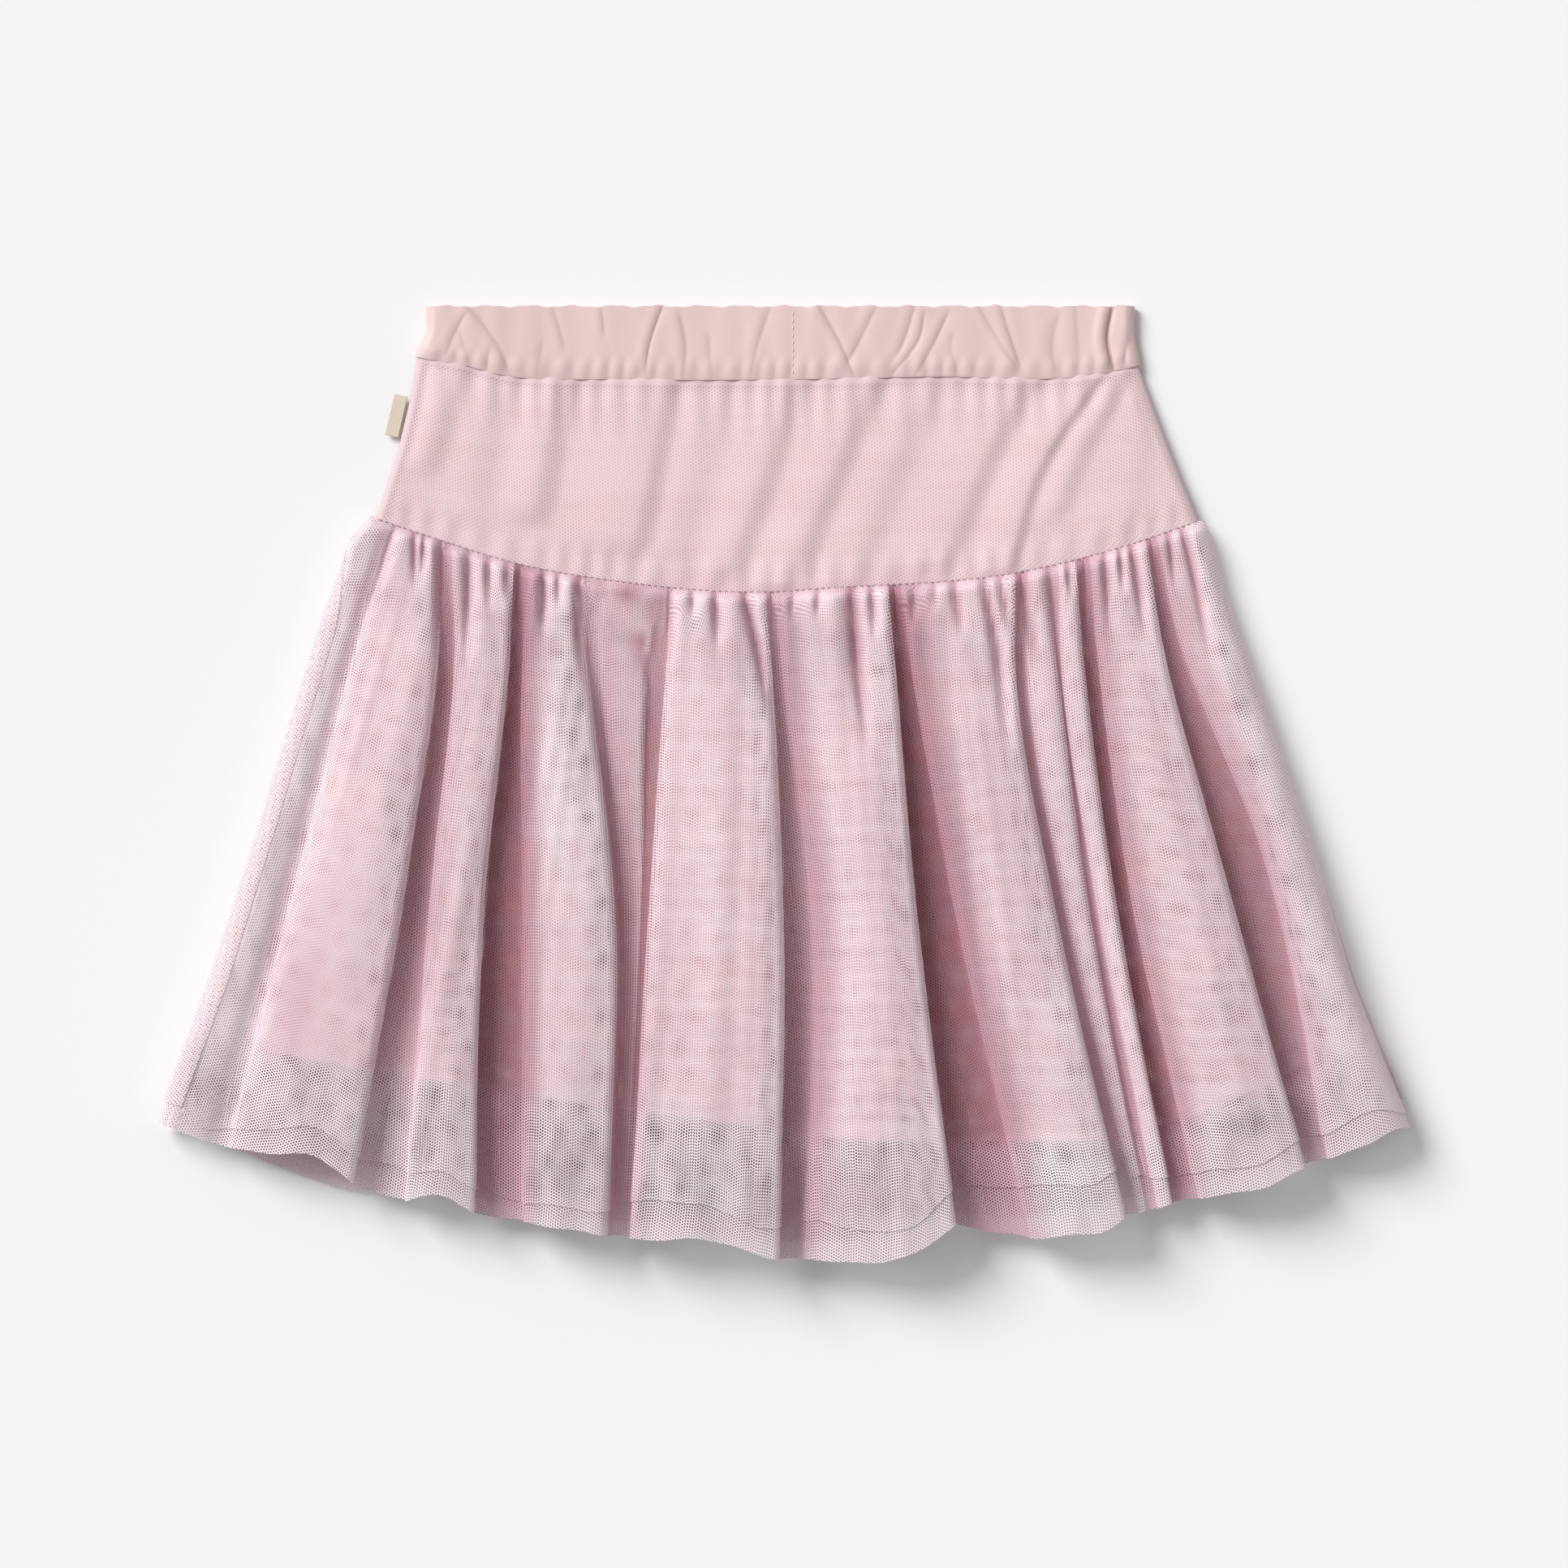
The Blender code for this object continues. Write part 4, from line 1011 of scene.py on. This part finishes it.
# the casing's creases: x at the lower edge, half way and at the top, half width, depth, and the part of the
# height that each takes up, from the lower edge (0) to the top (1)
bandCreases = (
    (-131, -129, -125, 1.4, 0.9, (0.2, 1)), (-121, -117.5, -112, 1.2, 0.8, (0.1, 0.9)),
    (-112, -115, -119, 1, 0.6, (0, 0.6)), (-97, -103.5, -113, 1.5, 1.1, (0, 1)),
    (-106, -104, -101, 0.9, 0.5, (0, 0.4)), (-76, -78.5, -82.5, 1.3, 0.8, (0.4, 1)),
    (-88, -86, -84, 1.2, 0.5, (0, 0.5)), (-62, -63.5, -65, 1, 0.7, (0.6, 1)),
    (-49.5, -47.6, -43, 1.1, 1.35, (0.1, 1)), (-35.5, -35, -37.5, 1.5, 1, (0, 0.9)),
    (-25.5, -26.5, -28, 1.3, 0.6, (0, 0.6)), (-12, -9, -4.5, 1.2, 0.6, (0, 1)),
    (25.5, 20, 12.5, 1.1, 1.4, (0, 1)), (20, 27, 33.5, 1.4, 0.8, (0.2, 1)),
    (38, 48, 50.5, 1, 1, (0, 0.9)), (36, 43, 47, 1.3, 0.9, (0.3, 1)),
    (47, 54, 60, 1.2, 1, (0, 0.9)), (62, 60, 66, 1.2, 0.5, (0, 0.6)),
    (85.5, 77, 69.5, 0.9, 0.9, (0.1, 1)), (86, 81.5, 77.5, 1.3, 1.2, (0.1, 1)),
    (97, 96, 99, 1.6, 0.6, (0.1, 0.9)), (106, 105, 104, 1.4, 0.5, (0.3, 1)),
    (117.8, 115.4, 117.2, 1.2, 4.2, (0, 1)), (121, 123, 126, 1.1, 1, (0.1, 1)),
)


def bandMaterial():
    finish = Finish("bandSatin", 0.5, Sheen_Weight=0.2, Sheen_Roughness=0.35)
    across, down = finish.weave()
    cloud = finish.noise(26.0, 3.0, (1.0, 0.5, 1.0))
    twill = ((across + down) * (2 * np.pi / band["twill"])).maths("SINE")
    colour = finish.mix(cloud.steps(0.3, 0.75), band["pale"], band["deep"])
    finish.set(Base_Color=finish.mix(finish.painted("crease"), colour, band["crease"]))
    creases = finish.noise(1.0, 4.0, (90.0, 45.0, 1.0), finish.flat)
    finish.bump(creases * 0.5 + twill * 0.015, 0.3, 0.0012)
    return finish.material


def bandRelief(x, t):  # how high the casing stands, and the painted shade in its creases
    uneven = x + 4.0 * np.sin(x / 17.0) + 0.9 * np.sin(x / 5.3 + 3.0 * t)
    rise = 0.75 + 0.1 * np.cos(2 * np.pi * uneven / 12.6)
    dark = np.zeros_like(x)
    for low, middle, top, width, depth, (begins, ends) in bandCreases:
        shown = ease((t - begins + 0.1) / 0.2) * ease((ends + 0.1 - t) / 0.2)
        away = (x - through((0.0, 0.5, 1.0), (low, middle, top), t)) / width
        lip = 0.45 * np.exp(-((away + 2.2) / 1.6) ** 2)
        rise += 0.36 * depth * shown * (lip - np.exp(-np.abs(away) ** 1.3))
        dark = np.maximum(dark, 0.3 * depth * shown * np.exp(-((away + 0.2) / 0.7) ** 2))
    puckers = 0.3 * ease((0.35 - t) / 0.25) * np.cos(2 * np.pi * (x + 2.0 * np.sin(x / 9.0)) / 6.7)
    risen = ease((t + 0.15) / 0.35)
    return np.maximum(rise + puckers, 0.0) * risen - 0.36 * (1.0 - risen), np.minimum(dark, 0.8)


def bandGrid():
    grid = []
    shades = []
    overCount, underCount = band["columns"]
    radius = (bandSeat - band["floor"]) / 2
    middle = band["floor"] + radius
    rightTurn = np.radians(np.linspace(60, -60, 9))
    leftTurn = np.radians(np.linspace(240, 120, 9))
    for t in np.linspace(1.0, 0.0, band["rows"]):
        narrow = ease(t / 0.6)
        left = band["left"] + band["narrows"][0] * narrow + 1.2
        right = band["right"] - band["narrows"][1] * narrow - 1.2
        over = np.linspace(left + 2.0, right - 2.0, overCount)
        under = np.linspace(right - 2.0, left + 2.0, underCount)
        relief, dark = bandRelief(over, t)
        x = np.concatenate([over, right - radius + radius * np.cos(rightTurn), under,
                            left + radius + radius * np.cos(leftTurn)])
        z = np.concatenate([bandSeat + relief, middle + radius * np.sin(rightTurn),
                            band["floor"] + 0.0 * under, middle + radius * np.sin(leftTurn)])
        low = through(*bandLine, x) + layers["gap"] / 2
        high = band["top"] + 0.3 * np.cos(2 * np.pi * x / 15.1) + 0.15 * np.cos(2 * np.pi * x / 6.3)
        grid.append(np.stack([x, low + (high - low) * t, z], axis=1))
        shades.append(np.concatenate([dark, np.zeros(len(x) - len(dark)), dark[:1]]))
    return np.array(grid), np.array(shades)


def edgesRounded(piece, width):
    bevel = piece.modifiers.new("edges", "BEVEL")
    bevel.width = width * mm
    bevel.segments = 3
    bevel.limit_method = "ANGLE"
    bevel.angle_limit = np.radians(60)


stitches = {
    "seam": {"length": 1.7, "thick": 0.5, "every": 2.3},
    "centre": {"length": 1.5, "thick": 0.5, "every": 2.6},
    "centreX": 3.3,
    "above": (0.35, 1.2),  # how far the seam's and the centre's stand over the middle of the cloth
    "mauve": (0.42, 0.31, 0.35),
    "pink": (0.84, 0.60, 0.58),
}


def threadMaterial(name, colour):
    finish = Finish(name, 0.6, Sheen_Weight=0.2)
    twist = finish.noise(900.0, 1.0)
    finish.set(Base_Color=finish.mix(twist, colour, tuple(0.8 * c for c in colour)))
    return finish.material


def stitchRow(name, points, made, rideSlot, length, thick, every):
    # small thread stitches along a line of points, a stitch every so many millimetres
    points = np.array(points, float)
    along = np.concatenate([[0.0], np.cumsum(np.linalg.norm(np.diff(points, axis=0), axis=1))])
    work = bmesh.new()
    for start in np.arange(every / 2, along[-1] - length / 2, every):
        here, ahead = [np.array([np.interp(place, along, points[:, k]) for k in range(3)])
                       for place in (start, start + 0.5)]
        way = Vector(ahead - here).normalized()
        stitch = bmesh.ops.create_uvsphere(work, u_segments=6, v_segments=4, radius=0.5)
        turn = way.to_track_quat("Z", "Y").to_matrix().to_4x4()
        size = Matrix.Diagonal((thick * mm, thick * mm, length * mm, 1.0))
        place = Matrix.Translation(Vector((here[0], here[1] - layers["centreY"], here[2])) * mm)
        bmesh.ops.transform(work, matrix=place @ turn @ size, verts=stitch["verts"])
    piece = finished(name, work, made)
    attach(piece, "root")
    return piece


def stitchesMade():
    seamAbove, centreAbove = stitches["above"]
    x = np.linspace(-145.0, 147.6, 400)
    seamTop = backUnder + layers["seamPuff"] + seamAbove
    seamPoints = np.stack([x, through(*seamLine, x), 0 * x + seamTop], axis=1)
    seam = stitchRow("tierSeamThread", seamPoints, threadMaterial("mauveThread", stitches["mauve"]),
                     "yoke_net_back", **stitches["seam"])
    x = np.array([stitches["centreX"]])
    low = through(*bandLine, x)[0]
    centrePoints = [(x[0], low + (band["top"] - low) * t, bandSeat + bandRelief(x, t)[0][0] + centreAbove)
                    for t in np.linspace(0.05, 0.95, 40)]
    centre = stitchRow("centreBackStitches", centrePoints, threadMaterial("pinkThread", stitches["pink"]),
                       "band_weave", **stitches["centre"])
    return seam, centre


label = {
    "size": (5.0, 15.0, 0.7),
    "place": (-138.3, 130.9, 2.4),
    "tilt": -13.0,
    "rows": 40,
    "columns": 10,
    "pale": (0.68, 0.58, 0.47),
    "deep": (0.59, 0.49, 0.38),
    "weave": (0.0006, 0.0004),  # metres from rib to rib, and from thread to thread
}


def labelMaterial():
    finish = Finish("labelTape", 0.75)
    ribs, cross = [(way * (2 * np.pi / pitch)).maths("SINE")
                   for way, pitch in zip(finish.weave(), label["weave"])]
    finish.set(Base_Color=finish.mix(ribs.steps(-1.0, 1.0) * 0.35, label["pale"], label["deep"]))
    finish.bump(ribs * 0.6 + cross * 0.4, 0.4, 0.0002)
    return finish.material


def labelMade():
    width, length, thick = label["size"]
    across = np.linspace(width / 2, -width / 2, label["columns"])[None, :]
    down = np.linspace(length / 2, -length / 2, label["rows"])[:, None]
    tilt = np.radians(label["tilt"])
    x, y, z = label["place"]
    grid = np.stack([x + across * np.cos(tilt) - down * np.sin(tilt),
                     y + across * np.sin(tilt) + down * np.cos(tilt),
                     z + 0.15 * np.sin(down / 3.0) + 0.0 * across], axis=2)
    piece = clothSheet("sideLabel", grid, labelMaterial(), thick)
    edgesRounded(piece, 0.2)
    register(piece, "side_label")
    return piece


tierThread, centreStitches = stitchesMade()
print("stitches made")
tag = labelMade()

yokeRows = np.linspace(0.0, 1.0, yoke["rows"])
grid = yokeGrid(yokeRows, yoke["columns"], True)
inward = np.minimum(*fromSides(grid))
ends = np.maximum(1.0 - ease((inward - 1.8) / 1.5), ease((0.055 - yokeRows) / 0.02)[:, None])
piece = clothSheet("yokeBack", grid, netMaterial("yokeNetBack", 0.0, yoke["pitch"], 0.0, yoke["colours"]),
                   values={"backed": np.ones(grid.shape[:2]), "steep": yoke["closed"] * ends})
register(piece, "yoke_back")
grid = yokeGrid(yokeRows[::3], yoke["frontColumns"], False)
piece = clothSheet("yokeFront", grid, netMaterial("yokeNetFront", 0.02, yoke["pitch"], 0.1, yoke["colours"]))
register(piece, "yoke_front")

liningRise = tubeRise(underBack, np.isin(foldOf, lining["folds"]))
for side in ("Back", "Front"):
    grid, values = liningGrid(side == "Back")
    piece = clothSheet("lining" + side, grid, liningMaterial("lining" + side + "Weave"), lining["wall"],
                       values=values)
    register(piece, "lining_" + side.lower())

grid, shades = bandGrid()
piece = clothSheet("waistCasing", grid, bandMaterial(), band["wall"], values={"crease": shades}, closed=True)
edgesRounded(piece, 0.7)
register(piece, "waistband")
print("yoke, lining and waistband made")

studio = {  # lengths in metres
    "floor": (0.80, 0.80, 0.80),
    "world": 0.45,
    "sun": 3.48,
    "sunSoftness": 30.0,
    "sunTurn": (-31.0, -43.2),  # leaning from the top and the left
    "cameraHeight": 3.0,
    "view": (0.00015, 0.5603),
}


def studioMade():
    scene = bpy.context.scene
    work = bmesh.new()
    bmesh.ops.create_grid(work, x_segments=2, y_segments=2, size=3.0)
    finish = Finish("paleSurface", 0.85)
    dimmer = tuple(0.985 * c for c in studio["floor"])
    finish.set(Base_Color=finish.mix(finish.noise(3.0), studio["floor"], dimmer))
    floor = finished("paleFloor", work, finish.material)
    world = bpy.data.worlds.new("softRoom")
    world.use_nodes = True
    world.node_tree.nodes["Background"].inputs["Color"].default_value = (1.0, 1.0, 1.0, 1.0)
    world.node_tree.nodes["Background"].inputs["Strength"].default_value = studio["world"]
    scene.world = world
    lamp = bpy.data.lights.new("softKey", "SUN")
    lamp.energy = studio["sun"]
    lamp.angle = np.radians(studio["sunSoftness"])
    key = bpy.data.objects.new("softKey", lamp)
    key.rotation_euler = [np.radians(angle) for angle in studio["sunTurn"]] + [0.0]
    scene.collection.objects.link(key)
    lens = bpy.data.cameras.new("overhead")
    lens.sensor_width = 36.0
    lens.lens = 36.0 * studio["cameraHeight"] / studio["view"][1]
    lens.clip_end = 20.0
    camera = bpy.data.objects.new("overhead", lens)
    camera.location = (studio["view"][0], 0.0, studio["cameraHeight"])
    scene.collection.objects.link(camera)
    scene.camera = camera
    scene.view_settings.view_transform = "Standard"


studioMade()
print("studio made")
